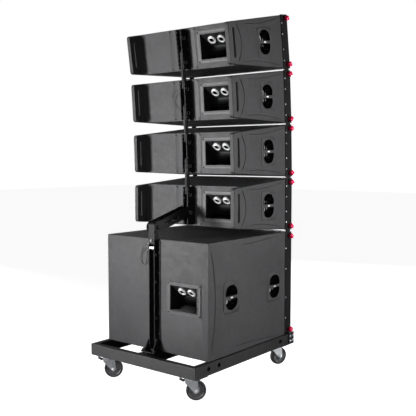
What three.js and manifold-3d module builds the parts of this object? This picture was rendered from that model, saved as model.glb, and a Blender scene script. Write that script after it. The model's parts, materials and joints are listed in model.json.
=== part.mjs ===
// Ground-stacked line array: four wedge-shaped loudspeakers pinned on top of a subwoofer, on a wheeled dolly.
// Millimetres, +Z up, the loudspeakers fire towards -Y.
// The origin is on the floor, under the middle of the dolly.
import * as THREE from "three";
import { mergeVertices } from "three/addons/utils/BufferGeometryUtils.js";
import Module from "manifold-3d";

const wasm = await Module();
wasm.setup();

// ---------- driving dimensions ----------
const CABINET_W = 700;
const HALF_W = CABINET_W / 2;
const WALL = 18;

const WHEEL_R = 50;
const WHEEL_W = 32;
const CASTER_H = 124;
const CASTER_X = 288;
const CASTER_REAR_INSET = 58;
const CASTER_FRONT_INSET = 78;
const CASTER_TRAIL = 26;
const CASTER_TURN_DEG = { rear: -50, front: -20 };

const DOLLY_W = 724;
const DOLLY_L = 884;
const TUBE_W = 30;
const TUBE_H = 60;
const TUBE_WALL = 2;
const DOLLY_REAR_SHELF = 117;

const SUB_D = 760;
const SUB_H = 584;
const SUB_BASE_Z = CASTER_H + TUBE_H;
const SUB_REAR_Y = DOLLY_L / 2 - DOLLY_REAR_SHELF;
const SUB_FRONT_Y = SUB_REAR_Y - SUB_D;
const SUB_TOP_Z = SUB_BASE_Z + SUB_H;

const ELEMENT_COUNT = 4;
const ELEMENT_D = 548;
const ELEMENT_H = 295;
const ELEMENT_TAPER = 45;
const ELEMENT_SIDE = 24;
const ELEMENT_GAP = 4;
const SUB_GAP = 8;
const SPLAY_DEG = [0, 2, 2, 4];
const WING = 78;
const PANEL_Y = ELEMENT_D - WING;
const MID_Z = ELEMENT_H / 2;

const PIN_Y = 22;
const PIN_Z = 24.5;
const PIN_R = 6;
const PIN_HOLE_R = 6.6;

const RAIL_HALF_W = 18;
const RAIL_DEPTH = 49;
const RAIL_HALF_H = 103;
const RAIL_PIN_Y = PANEL_Y + 30;
const RAIL_PIN_R = 5;
const RAIL_PIN_OVERHANG = 4;
const LINK_TOP_PIN_Z = 216;
const LINK_LOW_PIN_Z = 89;
const ARM_PIN_Y = PANEL_Y + 38;
const ARM_PIN_Z = 122;
const ARM_PIN_OVERHANG = 14;

const DISH_W = 219;
const DISH_H = 164;
const DISH_OPENING_W = 173;
const DISH_OPENING_H = 126;
const DISH_X = -196;

const CLEAR = 0.4;

// ---------- materials ----------
function paint(color, roughness, metalness) {
  return new THREE.MeshStandardMaterial({ color, roughness, metalness });
}

const TEXTURED_PAINT = paint(0x2b2b2e, 0.8, 0);
const BLACK_STEEL = paint(0x141416, 0.45, 0.6);
const PERFORATED_STEEL = paint(0x18181a, 0.5, 0.6);
const BLACK_PLASTIC = paint(0x1a1a1c, 0.55, 0);
const RED_PLASTIC = paint(0xd4143c, 0.35, 0);
const ZINC = paint(0xb9bec4, 0.35, 0.9);
const GREY_RUBBER = paint(0x2c2c2e, 0.7, 0);
const PAPER_CONE = paint(0x101012, 0.9, 0);
const STEEL_WIRE = paint(0x333436, 0.4, 0.8);

const radians = THREE.MathUtils.degToRad;

// ---------- solid helpers ----------
// A closed geometry as a solid for cutting and joining.
function solid(geometry) {
  const bare = geometry.index ? geometry.toNonIndexed() : geometry.clone();
  bare.deleteAttribute("normal");
  bare.deleteAttribute("uv");
  const merged = mergeVertices(bare, 1e-3);
  return new wasm.Manifold(
    new wasm.Mesh({
      numProp: 3,
      vertProperties: merged.attributes.position.array,
      triVerts: new Uint32Array(merged.index.array),
    }),
  );
}

function geometryOf(manifold) {
  const mesh = manifold.getMesh();
  const geometry = new THREE.BufferGeometry();
  geometry.setAttribute("position", new THREE.BufferAttribute(new Float32Array(mesh.vertProperties), 3));
  geometry.setIndex(new THREE.BufferAttribute(new Uint32Array(mesh.triVerts), 1));
  const faceted = geometry.toNonIndexed();
  faceted.computeVertexNormals();
  return faceted;
}

const join = (...parts) => parts.reduce((whole, part) => whole.add(part));
const cut = (base, ...tools) => tools.reduce((rest, tool) => rest.subtract(tool), base);

// A box between two values on each axis.
function block([x0, x1], [y0, y1], [z0, z1]) {
  const geometry = new THREE.BoxGeometry(x1 - x0, y1 - y0, z1 - z0);
  geometry.translate((x0 + x1) / 2, (y0 + y1) / 2, (z0 + z1) / 2);
  return solid(geometry);
}

function shapeOf(points) {
  return new THREE.Shape(points.map(([u, v]) => new THREE.Vector2(u, v)));
}

// A (y, z) outline carried along X from x0 to x1.
function sideExtrusion(shape, x0, x1, curveSegments = 6) {
  const geometry = new THREE.ExtrudeGeometry(shape, { depth: x1 - x0, bevelEnabled: false, curveSegments });
  const along = new THREE.Matrix4().makeBasis(
    new THREE.Vector3(0, 1, 0),
    new THREE.Vector3(0, 0, 1),
    new THREE.Vector3(1, 0, 0),
  );
  geometry.applyMatrix4(along);
  geometry.translate(x0, 0, 0);
  return solid(geometry);
}

// A round bar whose axis is "x", "y" or "z", centred on a point.
function rod(axis, radius, length, [x, y, z], segments = 16) {
  const geometry = new THREE.CylinderGeometry(radius, radius, length, segments);
  if (axis === "x") geometry.rotateZ(-Math.PI / 2);
  if (axis === "z") geometry.rotateX(Math.PI / 2);
  geometry.translate(x, y, z);
  return solid(geometry);
}

// A [radius, distance] profile turned about "x", "y" or "z"; distance runs along that axis.
function turned(axis, profile, [x, y, z], segments = 20) {
  const geometry = new THREE.LatheGeometry(
    profile.map(([radius, distance]) => new THREE.Vector2(radius, distance)),
    segments,
  );
  if (axis === "x") geometry.rotateZ(-Math.PI / 2);
  if (axis === "z") geometry.rotateX(Math.PI / 2);
  geometry.translate(x, y, z);
  const made = solid(geometry);
  if (made.volume() > 0) return made;
  geometry.index.array.reverse();
  return solid(geometry);
}

// A straight slot outline in (y, z), with round ends, turned by an angle about its centre.
function slotShape(y, z, length, width, angle = Math.PI / 2) {
  const r = width / 2;
  const half = length / 2 - r;
  const direction = new THREE.Vector2(Math.cos(angle), Math.sin(angle));
  const ends = [
    new THREE.Vector2(y, z).addScaledVector(direction, -half),
    new THREE.Vector2(y, z).addScaledVector(direction, half),
  ];
  const shape = new THREE.Shape();
  shape.absarc(ends[1].x, ends[1].y, r, angle - Math.PI / 2, angle + Math.PI / 2, false);
  shape.absarc(ends[0].x, ends[0].y, r, angle + Math.PI / 2, angle + Math.PI * 1.5, false);
  return shape;
}

function piece(name, shape, material, group) {
  const mesh = new THREE.Mesh(geometryOf(shape), material);
  mesh.name = name;
  group.add(mesh);
  return mesh;
}

const SIDES = [
  ["left", 1],
  ["right", -1],
];

// x limits on one side of the object, given as distances from its middle.
const sideSpan = (sign, inner, outer) => (sign > 0 ? [inner, outer] : [-outer, -inner]);

// ---------- cup handle, moulded into a side wall ----------
const CUP_W = 104;
const CUP_H = 130;
const CUP_DEPTH = 52;
const CUP_WALL = 5;
const BAR_H = 24;
const BAR_T = 16;
const BAR_INSET = 4;

function addCupHandle(cabinet, sign, y, z) {
  const across = (half) => [y - half, y + half];
  const up = (half) => [z - half, z + half];
  const shell = block(
    sideSpan(sign, HALF_W - CUP_DEPTH - CUP_WALL, HALF_W - 1),
    across(CUP_W / 2 + CUP_WALL),
    up(CUP_H / 2 + CUP_WALL),
  );
  const cavity = block(sideSpan(sign, HALF_W - CUP_DEPTH, HALF_W + 1), across(CUP_W / 2), up(CUP_H / 2));
  const barOuter = HALF_W - BAR_INSET;
  const bar = block(sideSpan(sign, barOuter - BAR_T, barOuter), across(CUP_W / 2 + 1), up(BAR_H / 2));
  return cut(cabinet.add(shell), cavity).add(bar);
}

// ---------- front rigging plates, with the lug that rises into the loudspeaker above ----------
const PLATE_W = 66;
const PLATE_INNER_X = 345.3;
const PLATE_OUTER_X = 351;
const PLATE_RECESS_X = 336.5;
const LUG_W = 36;
const LUG_INNER_X = 337;
const LUG_OUTER_X = 344.8;
const KNOB_R = 14;
const KNOB_NECK_R = 10;
const KNOB_OUTER_X = 373;

// Quick-release pin with a mushroom knob: its shank starts at innerX and its neck at neckX.
function knobPin(sign, innerX, neckX, y, z) {
  const profile = [
    [0, innerX],
    [PIN_R, innerX],
    [PIN_R, neckX],
    [KNOB_NECK_R, neckX],
    [KNOB_NECK_R, KNOB_OUTER_X - 13],
    [KNOB_R, KNOB_OUTER_X - 11],
    [KNOB_R, KNOB_OUTER_X - 4],
    [KNOB_NECK_R, KNOB_OUTER_X],
    [0, KNOB_OUTER_X],
  ];
  const made = turned("x", profile, [0, y, z], 14);
  return sign > 0 ? made : made.mirror([1, 0, 0]);
}

const fixedPin = (sign, y, z) => knobPin(sign, PLATE_OUTER_X - 4, PLATE_OUTER_X - 1, y, z);
// The pin that is also the hinge between two loudspeakers.
const hingePin = (sign, y, z) => knobPin(sign, LUG_INNER_X + 0.5, PLATE_OUTER_X + CLEAR, y, z);

const recessForPlate = (sign, y0, z0, z1) =>
  block(sideSpan(sign, PLATE_RECESS_X, HALF_W + 5), [y0 - 1, y0 + PLATE_W + 1], [z0 - 1, z1 + 1]);

function riggingPlate(sign, frontY, z0, height, gapAbove, fixedPins, hasHinge) {
  const pinY = frontY + PIN_Y;
  const top = z0 + height;
  const plateX = sideSpan(sign, PLATE_INNER_X, PLATE_OUTER_X);
  const plate = block(plateX, [frontY + 1, frontY + PLATE_W], [z0 + 2, top - 2]);
  const parts = [plate];
  if (gapAbove) {
    const lugY = [pinY - LUG_W / 2, pinY + LUG_W / 2];
    const hingeZ = top + gapAbove + PIN_Z;
    const inside = block(sideSpan(sign, LUG_INNER_X, PLATE_INNER_X + 1), lugY, [top - 90, top - 4]);
    const above = block(sideSpan(sign, LUG_INNER_X, LUG_OUTER_X), lugY, [top - 6, hingeZ + 12]);
    const hole = rod("x", PIN_HOLE_R, 40, [sign * LUG_INNER_X, pinY, hingeZ], 14);
    parts.push(inside, cut(above, hole));
  }
  for (const z of fixedPins) parts.push(fixedPin(sign, pinY, z0 + z));
  const whole = join(...parts);
  return hasHinge ? cut(whole, rod("x", PIN_HOLE_R, 40, [sign * HALF_W, pinY, z0 + PIN_Z], 14)) : whole;
}

// ---------- connector dish, set in a rear panel ----------
const DISH_WALL = 4;
const DISH_DEPTH = 70;
const SOCKET_R = 23;
const SOCKET_SPACING = 62;
const SOCKET_DROP = 27;

function connectorDish(panelY, midZ) {
  const half = DISH_OPENING_H / 2;
  const flange = block(
    [DISH_X - DISH_W / 2, DISH_X + DISH_W / 2],
    [panelY + CLEAR, panelY + CLEAR + 4],
    [midZ - DISH_H / 2, midZ + DISH_H / 2],
  );
  // Section of the recess: an overhanging socket panel above, a ledge, and a floor that slopes out.
  const section = [
    [panelY + 10, half],
    [panelY, half],
    [panelY - 56, 6],
    [panelY - DISH_DEPTH + DISH_WALL, 6],
    [panelY - DISH_DEPTH + DISH_WALL, -half + 18],
    [panelY - 40, -half],
    [panelY + 10, -half],
  ];
  const halfW = DISH_OPENING_W / 2;
  const recess = sideExtrusion(
    shapeOf(section.map(([y, z]) => [y, midZ + z])),
    DISH_X - halfW,
    DISH_X + halfW,
  );
  const body = block(
    [DISH_X - halfW - DISH_WALL, DISH_X + halfW + DISH_WALL],
    [panelY - DISH_DEPTH, panelY + 2],
    [midZ - half - DISH_WALL, midZ + half + DISH_WALL],
  );
  const slope = Math.atan2(half - 6, 56);
  const sockets = [-1, 1].map((side) => {
    const geometry = new THREE.CylinderGeometry(SOCKET_R, SOCKET_R, 12, 16);
    geometry.rotateX(-slope);
    geometry.translate(
      DISH_X + (side * SOCKET_SPACING) / 2,
      panelY - (SOCKET_DROP * 56) / (half - 6),
      midZ + half - SOCKET_DROP,
    );
    return solid(geometry);
  });
  return join(cut(body.add(flange), recess), ...sockets);
}

function dishHole(panelY, midZ) {
  const halfW = DISH_OPENING_W / 2 + DISH_WALL + CLEAR;
  const halfH = DISH_OPENING_H / 2 + DISH_WALL + CLEAR;
  return block([DISH_X - halfW, DISH_X + halfW], [panelY - 40, panelY + 20], [midZ - halfH, midZ + halfH]);
}

// ---------- one wedge-shaped loudspeaker, in its own frame ----------
// y runs back from its front face and z up from its lower front edge.
const lowerEdge = (y) => (ELEMENT_TAPER * y) / ELEMENT_D;
const upperEdge = (y) => ELEMENT_H - lowerEdge(y);
const CORNER_R = 15;
const SLOT_W = 18;
const SLOT_H = 150;
const SLOT_Y = ELEMENT_D - 38;
const HANDLE_Y = 237;

function elementOutline() {
  const rearLow = lowerEdge(ELEMENT_D);
  const rearHigh = upperEdge(ELEMENT_D);
  const shape = new THREE.Shape();
  shape.moveTo(0, 0);
  shape.lineTo(ELEMENT_D - CORNER_R, lowerEdge(ELEMENT_D - CORNER_R));
  shape.quadraticCurveTo(ELEMENT_D, rearLow, ELEMENT_D, rearLow + CORNER_R);
  shape.lineTo(ELEMENT_D, rearHigh - CORNER_R);
  shape.quadraticCurveTo(ELEMENT_D, rearHigh, ELEMENT_D - CORNER_R, upperEdge(ELEMENT_D - CORNER_R));
  shape.lineTo(0, ELEMENT_H);
  shape.closePath();
  return shape;
}

function elementCabinet() {
  const innerX = HALF_W - ELEMENT_SIDE;
  const innerRear = PANEL_Y - WALL;
  const inside = shapeOf([
    [-1, WALL],
    [innerRear, lowerEdge(innerRear) + WALL],
    [innerRear, upperEdge(innerRear) - WALL],
    [-1, ELEMENT_H - WALL],
  ]);
  let cabinet = cut(
    sideExtrusion(elementOutline(), -HALF_W, HALF_W, 4),
    sideExtrusion(inside, -innerX, innerX),
    block([-innerX, innerX], [PANEL_Y, ELEMENT_D + 1], [-1, ELEMENT_H + 1]),
    sideExtrusion(slotShape(SLOT_Y, MID_Z, SLOT_H, SLOT_W), -HALF_W - 1, HALF_W + 1),
    dishHole(PANEL_Y, MID_Z),
  );
  for (const [, sign] of SIDES) {
    cabinet = addCupHandle(cabinet, sign, HANDLE_Y, MID_Z);
    cabinet = cut(cabinet, recessForPlate(sign, 0, 0, ELEMENT_H));
  }
  return cabinet;
}

function grille(width, z0, z1, frontY) {
  const face = block([-width / 2, width / 2], [frontY + 2, frontY + 4], [z0, z1]);
  const returns = block([-width / 2, width / 2], [frontY + 3, frontY + 16], [z0, z1]);
  const hollow = block([-width / 2 + 2, width / 2 - 2], [frontY + 4, frontY + 17], [z0 + 2, z1 - 2]);
  return join(face, cut(returns, hollow));
}

// A cone driver seen from its mounting face: cone, basket and magnet behind the baffle.
function driver(radius, depth, [x, y, z], segments) {
  return turned(
    "y",
    [
      [0, depth],
      [radius * 0.55, depth],
      [radius * 0.55, depth * 0.6],
      [radius * 0.9, 8],
      [radius * 1.0, 8],
      [radius * 1.0, 0],
      [radius * 0.84, 0],
      [radius * 0.3, depth * 0.42],
      [0, depth * 0.36],
    ],
    [x, y, z],
    segments,
  );
}

const WOOFER_X = 194;
const WOOFER_R = 122;

// Baffle with two cone drivers either side of a tall horn with its compression driver.
function elementDrivers() {
  const halfW = HALF_W - ELEMENT_SIDE - 1;
  const front = 24;
  const board = block([-halfW, halfW], [front, front + 15], [WALL + 4, ELEMENT_H - WALL - 4]);
  const woofers = [-1, 1].map((side) => driver(WOOFER_R, 110, [side * WOOFER_X, front - 4, MID_Z], 20));
  const holes = [-1, 1].map((side) => rod("y", WOOFER_R - 3, 60, [side * WOOFER_X, front + 10, MID_Z], 20));
  const horn = block([-62, 62], [front - 2, front + 80], [MID_Z - 112, MID_Z + 112]);
  const throat = block([-54, 54], [front - 3, front + 60], [MID_Z - 104, MID_Z + 104]);
  const magnet = rod("y", 48, 70, [0, front + 112, MID_Z], 16);
  return join(cut(join(board, horn), throat, ...holes), ...woofers, magnet);
}

// Rear rail: base plate, two cheeks with a row of splay holes, and two cross pins.
function rearRail(lowPinY, lowPinZ, lowPinOverhang) {
  const y0 = PANEL_Y + CLEAR;
  const up = [MID_Z - RAIL_HALF_H, MID_Z + RAIL_HALF_H];
  const base = block([-RAIL_HALF_W - 12, RAIL_HALF_W + 12], [y0, y0 + 4], up);
  const cheeks = SIDES.map(([, sign]) =>
    block(sideSpan(sign, RAIL_HALF_W - 5, RAIL_HALF_W), [y0, y0 + RAIL_DEPTH], up),
  );
  const holes = [];
  for (let z = up[0] + 14; z < up[1] - 8; z += 22) {
    holes.push(rod("x", 4.5, 60, [0, PANEL_Y + 42, z], 8));
  }
  const pins = [
    rod("x", RAIL_PIN_R, 2 * (RAIL_HALF_W + lowPinOverhang), [0, lowPinY, lowPinZ], 12),
    rod("x", RAIL_PIN_R, 2 * (RAIL_HALF_W + RAIL_PIN_OVERHANG), [0, RAIL_PIN_Y, LINK_TOP_PIN_Z], 12),
  ];
  return join(cut(join(base, ...cheeks), ...holes), ...pins);
}

// Bar that sets the splay: pinned near the top of one rail, slotted for the low pin of the rail above.
const LINK_SLOT = [98, 182];
const LINK_LENGTH = 194;
const LINK_DEPTH = 26;
const LINK_HALF_T = 6;

// Turn, in degrees, that aims a link at the low pin of a loudspeaker splayed by an angle.
function linkAim(splayDeg) {
  const fromHinge = new THREE.Vector2(RAIL_PIN_Y - PIN_Y, LINK_LOW_PIN_Z - PIN_Z);
  fromHinge.rotateAround(new THREE.Vector2(0, 0), -radians(splayDeg));
  const hingeY = PIN_Y - RAIL_PIN_Y;
  const hingeZ = ELEMENT_H + ELEMENT_GAP + PIN_Z - LINK_TOP_PIN_Z;
  return -THREE.MathUtils.radToDeg(Math.atan2(hingeY + fromHinge.x, hingeZ + fromHinge.y));
}

function rearLink(angle) {
  const bar = sideExtrusion(
    slotShape(0, (LINK_LENGTH - 14) / 2, LINK_LENGTH + 14, LINK_DEPTH),
    -LINK_HALF_T,
    LINK_HALF_T,
    4,
  );
  const slotMid = (LINK_SLOT[0] + LINK_SLOT[1]) / 2;
  const slot = sideExtrusion(slotShape(0, slotMid, LINK_SLOT[1] - LINK_SLOT[0], 12.5), -20, 20, 4);
  return cut(bar, slot, rod("x", 5.8, 40, [0, 0, 0], 12)).rotate([angle, 0, 0]);
}

// ---------- wire lanyards ----------
const WIRE_R = 1.5;
const ELEMENT_LANYARD_ROUTE = [
  [RAIL_HALF_W + 1, 506, 196],
  [32, 507, 201],
  [54, 504, 200],
  [76, 498, 190],
  [93, 490, 173],
  [99, 484, 152],
  [93, 481, 131],
  [78, 481, 114],
  [58, 485, 102],
  [38, 492, 98],
  [RAIL_HALF_W + 1, 500, 102],
];
const SUB_LANYARD_ROUTE = [
  [21, 340, 744],
  [34, 342, 742],
  [52, 341, 732],
  [70, 338, 714],
  [85, 334, 692],
  [94, 332, 668],
  [93, 331, 646],
  [82, 330, 631],
  [66, 330, 630],
  [54, 331, 645],
  [48, 333, 668],
  [42, 336, 692],
  [33, 339, 710],
  [21, 340, 718],
];

function wire(route, steps) {
  const curve = new THREE.CatmullRomCurve3(route.map(([x, y, z]) => new THREE.Vector3(x, y, z)));
  const section = new THREE.Shape();
  section.absarc(0, 0, WIRE_R, 0, Math.PI * 2, false);
  const geometry = new THREE.ExtrudeGeometry(section, { steps, extrudePath: curve, curveSegments: 4 });
  return solid(geometry);
}

// ---------- dolly and casters ----------
const CASTER_PLATE_T = 4.5;
const CASTER_Y = {
  rear: DOLLY_L / 2 - CASTER_REAR_INSET,
  front: -DOLLY_L / 2 + CASTER_FRONT_INSET,
};
const LIP_T = 6;

function dollyFrame() {
  const halfW = DOLLY_W / 2;
  const halfL = DOLLY_L / 2;
  const bars = (inset) => {
    const z = [CASTER_H + inset, SUB_BASE_Z - inset];
    const sideBars = SIDES.map(([, sign]) =>
      block(sideSpan(sign, halfW - TUBE_W + inset, halfW - inset), [-halfL + inset, halfL - inset], z),
    );
    const crossBars = [1, -1].map((end) => {
      const outer = end * (halfL - inset);
      const inner = end * (halfL - TUBE_W + inset);
      return block([-halfW + inset, halfW - inset], [Math.min(outer, inner), Math.max(outer, inner)], z);
    });
    const middle = block([-TUBE_W / 2 - 3 + inset, TUBE_W / 2 + 3 - inset], [-halfL + 8, halfL - 8], z);
    return join(...sideBars, ...crossBars, middle);
  };
  const holes = [];
  for (const [, sign] of SIDES) {
    for (const y of [DOLLY_L / 2 - 105, DOLLY_L / 2 - 188, -DOLLY_L / 2 + 132]) {
      holes.push(rod("x", 9, 12, [sign * halfW, y, CASTER_H + TUBE_H * 0.56], 12));
    }
  }
  const plates = [];
  for (const [, sign] of SIDES) {
    for (const y of Object.values(CASTER_Y)) {
      plates.push(
        block(
          sideSpan(sign, CASTER_X - 48, halfW - 2),
          [y - 44, y + 44],
          [CASTER_H - CASTER_PLATE_T, CASTER_H + 1],
        ),
      );
    }
  }
  const lips = SIDES.map(([, sign]) =>
    block(sideSpan(sign, halfW - 1, halfW + LIP_T), [-halfL, -halfL + 54], [CASTER_H, SUB_BASE_Z + 8]),
  );
  return join(cut(bars(0), bars(TUBE_WALL), ...holes), ...plates, ...lips);
}

const CROWN_Z = 103;
const FORK_INNER = WHEEL_W / 2 + 2;
const FORK_T = 3;

// Swivel fork, in a frame whose origin is on the floor under the swivel axis; the wheel trails towards -y.
function casterFork() {
  const headTop = CASTER_H - CASTER_PLATE_T - CLEAR;
  const head = rod("z", 27, headTop - CROWN_Z, [0, 0, (headTop + CROWN_Z) / 2], 20);
  const crown = block([-FORK_INNER - FORK_T, FORK_INNER + FORK_T], [-34, 28], [CROWN_Z, CROWN_Z + FORK_T]);
  const leg = new THREE.Shape();
  leg.moveTo(-34, CROWN_Z + 1);
  leg.lineTo(-CASTER_TRAIL - 13, WHEEL_R + 4);
  leg.absarc(-CASTER_TRAIL, WHEEL_R, 13, Math.PI * 0.95, Math.PI * 1.95, false);
  leg.lineTo(28, CROWN_Z - 12);
  leg.lineTo(28, CROWN_Z + 1);
  leg.closePath();
  const legs = SIDES.map(([, sign]) => {
    const [x0, x1] = sideSpan(sign, FORK_INNER, FORK_INNER + FORK_T);
    return sideExtrusion(leg, x0, x1, 6);
  });
  const axle = rod("x", 6, 2 * FORK_INNER + 18, [0, -CASTER_TRAIL, WHEEL_R], 12);
  return join(head, crown, ...legs, axle);
}

function casterWheel() {
  const half = WHEEL_W / 2;
  return turned(
    "x",
    [
      [6.6, -half - 1],
      [15, -half - 1],
      [17, -9],
      [36, -9],
      [38, -half],
      [45, -half],
      [WHEEL_R, -half + 6],
      [WHEEL_R, half - 6],
      [45, half],
      [38, half],
      [36, 9],
      [17, 9],
      [15, half + 1],
      [6.6, half + 1],
      [6.6, -half - 1],
    ],
    [0, -CASTER_TRAIL, WHEEL_R],
    24,
  );
}

// Brake pedal, hinged on the fork's rear edge.
function brakePedal() {
  const side = shapeOf([
    [29, 99],
    [38, 96],
    [57, 107],
    [56, 110.5],
    [38, 100.5],
    [29, 104],
  ]);
  return sideExtrusion(side, -15, 15);
}

function addCasters(group) {
  for (const [sideName, sign] of SIDES) {
    for (const [endName, y] of Object.entries(CASTER_Y)) {
      const caster = new THREE.Group();
      caster.position.set(sign * CASTER_X, y, 0);
      caster.rotation.z = radians(CASTER_TURN_DEG[endName]);
      group.add(caster);
      const name = `${endName}_${sideName}_caster`;
      piece(`${name}_fork`, casterFork(), ZINC, caster);
      piece(`${name}_wheel`, casterWheel(), GREY_RUBBER, caster);
      if (endName === "rear") piece(`${name}_brake_pedal`, brakePedal(), BLACK_STEEL, caster);
    }
  }
}

// ---------- subwoofer ----------
const SUB_HANDLES_Y = [SUB_REAR_Y - 189, SUB_REAR_Y - 586];
const SUB_MID_Z = SUB_BASE_Z + SUB_H / 2;
const SUB_BASE_CLEAR = 0.5;

function subCabinet() {
  const z0 = SUB_BASE_Z + SUB_BASE_CLEAR;
  let cabinet = cut(
    block([-HALF_W, HALF_W], [SUB_FRONT_Y, SUB_REAR_Y], [z0, SUB_TOP_Z]),
    block(
      [-HALF_W + ELEMENT_SIDE, HALF_W - ELEMENT_SIDE],
      [SUB_FRONT_Y - 1, SUB_REAR_Y - WALL],
      [z0 + WALL, SUB_TOP_Z - WALL],
    ),
    dishHole(SUB_REAR_Y, SUB_MID_Z),
  );
  for (const [, sign] of SIDES) {
    for (const y of SUB_HANDLES_Y) cabinet = addCupHandle(cabinet, sign, y, SUB_MID_Z);
    cabinet = cut(cabinet, recessForPlate(sign, SUB_FRONT_Y, SUB_BASE_Z, SUB_TOP_Z));
  }
  return cabinet;
}

const PORT_X = [252, 304];
const PORT_END = 40;
const SUB_CONE_R = 226;
const SUB_CONE_DEPTH = 190;

// Baffle with one large cone driver and a slot port on each side.
function subDriver() {
  const halfW = HALF_W - ELEMENT_SIDE - 1;
  const y = [SUB_FRONT_Y + 40, SUB_FRONT_Y + 58];
  const z = [SUB_BASE_Z + WALL + 2, SUB_TOP_Z - WALL - 2];
  const board = block([-halfW, halfW], y, z);
  const ports = SIDES.map(([, sign]) =>
    block(sideSpan(sign, ...PORT_X), [y[0] - 5, y[1] + 5], [z[0] + PORT_END, z[1] - PORT_END]),
  );
  const hole = rod("y", SUB_CONE_R - 4, 60, [0, y[0] + 9, SUB_MID_Z], 28);
  const cone = driver(SUB_CONE_R, SUB_CONE_DEPTH, [0, y[0] - 6, SUB_MID_Z], 28);
  return join(cut(board, hole, ...ports), cone);
}

// ---------- rear post and tilt arm ----------
const POST_HALF_W = 20;
const POST_REAR_Y = SUB_REAR_Y + 26;
const POST_TOP_Z = SUB_TOP_Z + 84;
const ARM_PIVOT = [SUB_REAR_Y + 6, SUB_TOP_Z + 60];
const ARM_HALF_H = 27;
const ARM_INNER_X = 23.5;
const ARM_T = 5;
const ARM_SLOT_L = 38;
const ARM_SLOT_W = 11.5;

function rearPost() {
  const z0 = SUB_BASE_Z + CLEAR;
  const y0 = SUB_REAR_Y + CLEAR;
  const outline = new THREE.Shape();
  outline.moveTo(y0, z0);
  outline.lineTo(POST_REAR_Y, z0);
  outline.lineTo(POST_REAR_Y, POST_TOP_Z - 14);
  outline.quadraticCurveTo(POST_REAR_Y, POST_TOP_Z, POST_REAR_Y - 14, POST_TOP_Z);
  outline.lineTo(y0 - 8, POST_TOP_Z);
  outline.lineTo(y0 - 8, SUB_TOP_Z + 3);
  outline.lineTo(y0, SUB_TOP_Z + 3);
  outline.closePath();
  const channel = cut(
    sideExtrusion(outline, -POST_HALF_W, POST_HALF_W, 4),
    block([-POST_HALF_W + 4, POST_HALF_W - 4], [y0 + 4, POST_REAR_Y + 1], [z0 + 14, POST_TOP_Z - 110]),
  );
  const flange = block([-40, 40], [y0, y0 + 3], [z0, SUB_TOP_Z - 8]);
  const foot = block([-46, 46], [y0, y0 + 62], [z0, z0 + 6]);
  const gusset = shapeOf([
    [y0, z0 + 2],
    [y0 + 56, z0 + 2],
    [y0 + 22, z0 + 62],
    [y0, z0 + 62],
  ]);
  const gussets = SIDES.map(([, sign]) => {
    const [x0, x1] = sideSpan(sign, 25, 31);
    return sideExtrusion(gusset, x0, x1);
  });
  const pivotPin = rod("x", 6, 2 * (ARM_INNER_X + ARM_T) + 10, [0, ...ARM_PIVOT], 12);
  return join(channel, flange, foot, ...gussets, pivotPin);
}

// Two slotted cheeks joined by a spacer: pinned on the post, its far slot holds the lowest rail's pin.
function tiltArm(farY, farZ) {
  const [nearY, nearZ] = ARM_PIVOT;
  const span = Math.hypot(farY - nearY, farZ - nearZ);
  const angle = Math.atan2(farZ - nearZ, farY - nearY);
  const at = (distance) => [nearY + distance * Math.cos(angle), nearZ + distance * Math.sin(angle)];
  const [midY, midZ] = at(span / 2);
  const cheeks = SIDES.map(([, sign]) => {
    const [x0, x1] = sideSpan(sign, ARM_INNER_X, ARM_INNER_X + ARM_T);
    return sideExtrusion(slotShape(midY, midZ, span + 2 * ARM_HALF_H, 2 * ARM_HALF_H, angle), x0, x1, 5);
  });
  const slots = [0.3, 0.54].map((share) => {
    const [y, z] = at(share * span);
    return sideExtrusion(slotShape(y, z, 44, 14, angle), -60, 60, 4);
  });
  const farSlot = sideExtrusion(slotShape(farY, farZ, ARM_SLOT_L, ARM_SLOT_W, angle), -60, 60, 4);
  const bore = rod("x", 6.8, 120, [0, nearY, nearZ], 12);
  const spacer = rod("x", 7, 2 * ARM_INNER_X + 4, [0, ...at(span * 0.42)], 12);
  return join(cut(join(...cheeks), ...slots, farSlot, bore), spacer);
}

// ---------- the whole object ----------
const stack = new THREE.Group();

piece("dolly_frame", dollyFrame(), BLACK_STEEL, stack);
addCasters(stack);

piece("sub_cabinet", subCabinet(), TEXTURED_PAINT, stack);
piece(
  "sub_grille",
  grille(2 * (HALF_W - ELEMENT_SIDE) - 2, SUB_BASE_Z + WALL + 2, SUB_TOP_Z - WALL - 2, SUB_FRONT_Y),
  PERFORATED_STEEL,
  stack,
);
piece("sub_driver", subDriver(), PAPER_CONE, stack);
piece("sub_connector_dish", connectorDish(SUB_REAR_Y, SUB_MID_Z), BLACK_PLASTIC, stack);
for (const [sideName, sign] of SIDES) {
  const subPins = [PIN_Z, SUB_H - PIN_Z];
  piece(
    `sub_${sideName}_rigging_plate`,
    riggingPlate(sign, SUB_FRONT_Y, SUB_BASE_Z, SUB_H, SUB_GAP, subPins, false),
    BLACK_STEEL,
    stack,
  );
}
piece("rear_post", rearPost(), BLACK_STEEL, stack);
piece("sub_lanyard", wire(SUB_LANYARD_ROUTE, 44), STEEL_WIRE, stack);

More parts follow.
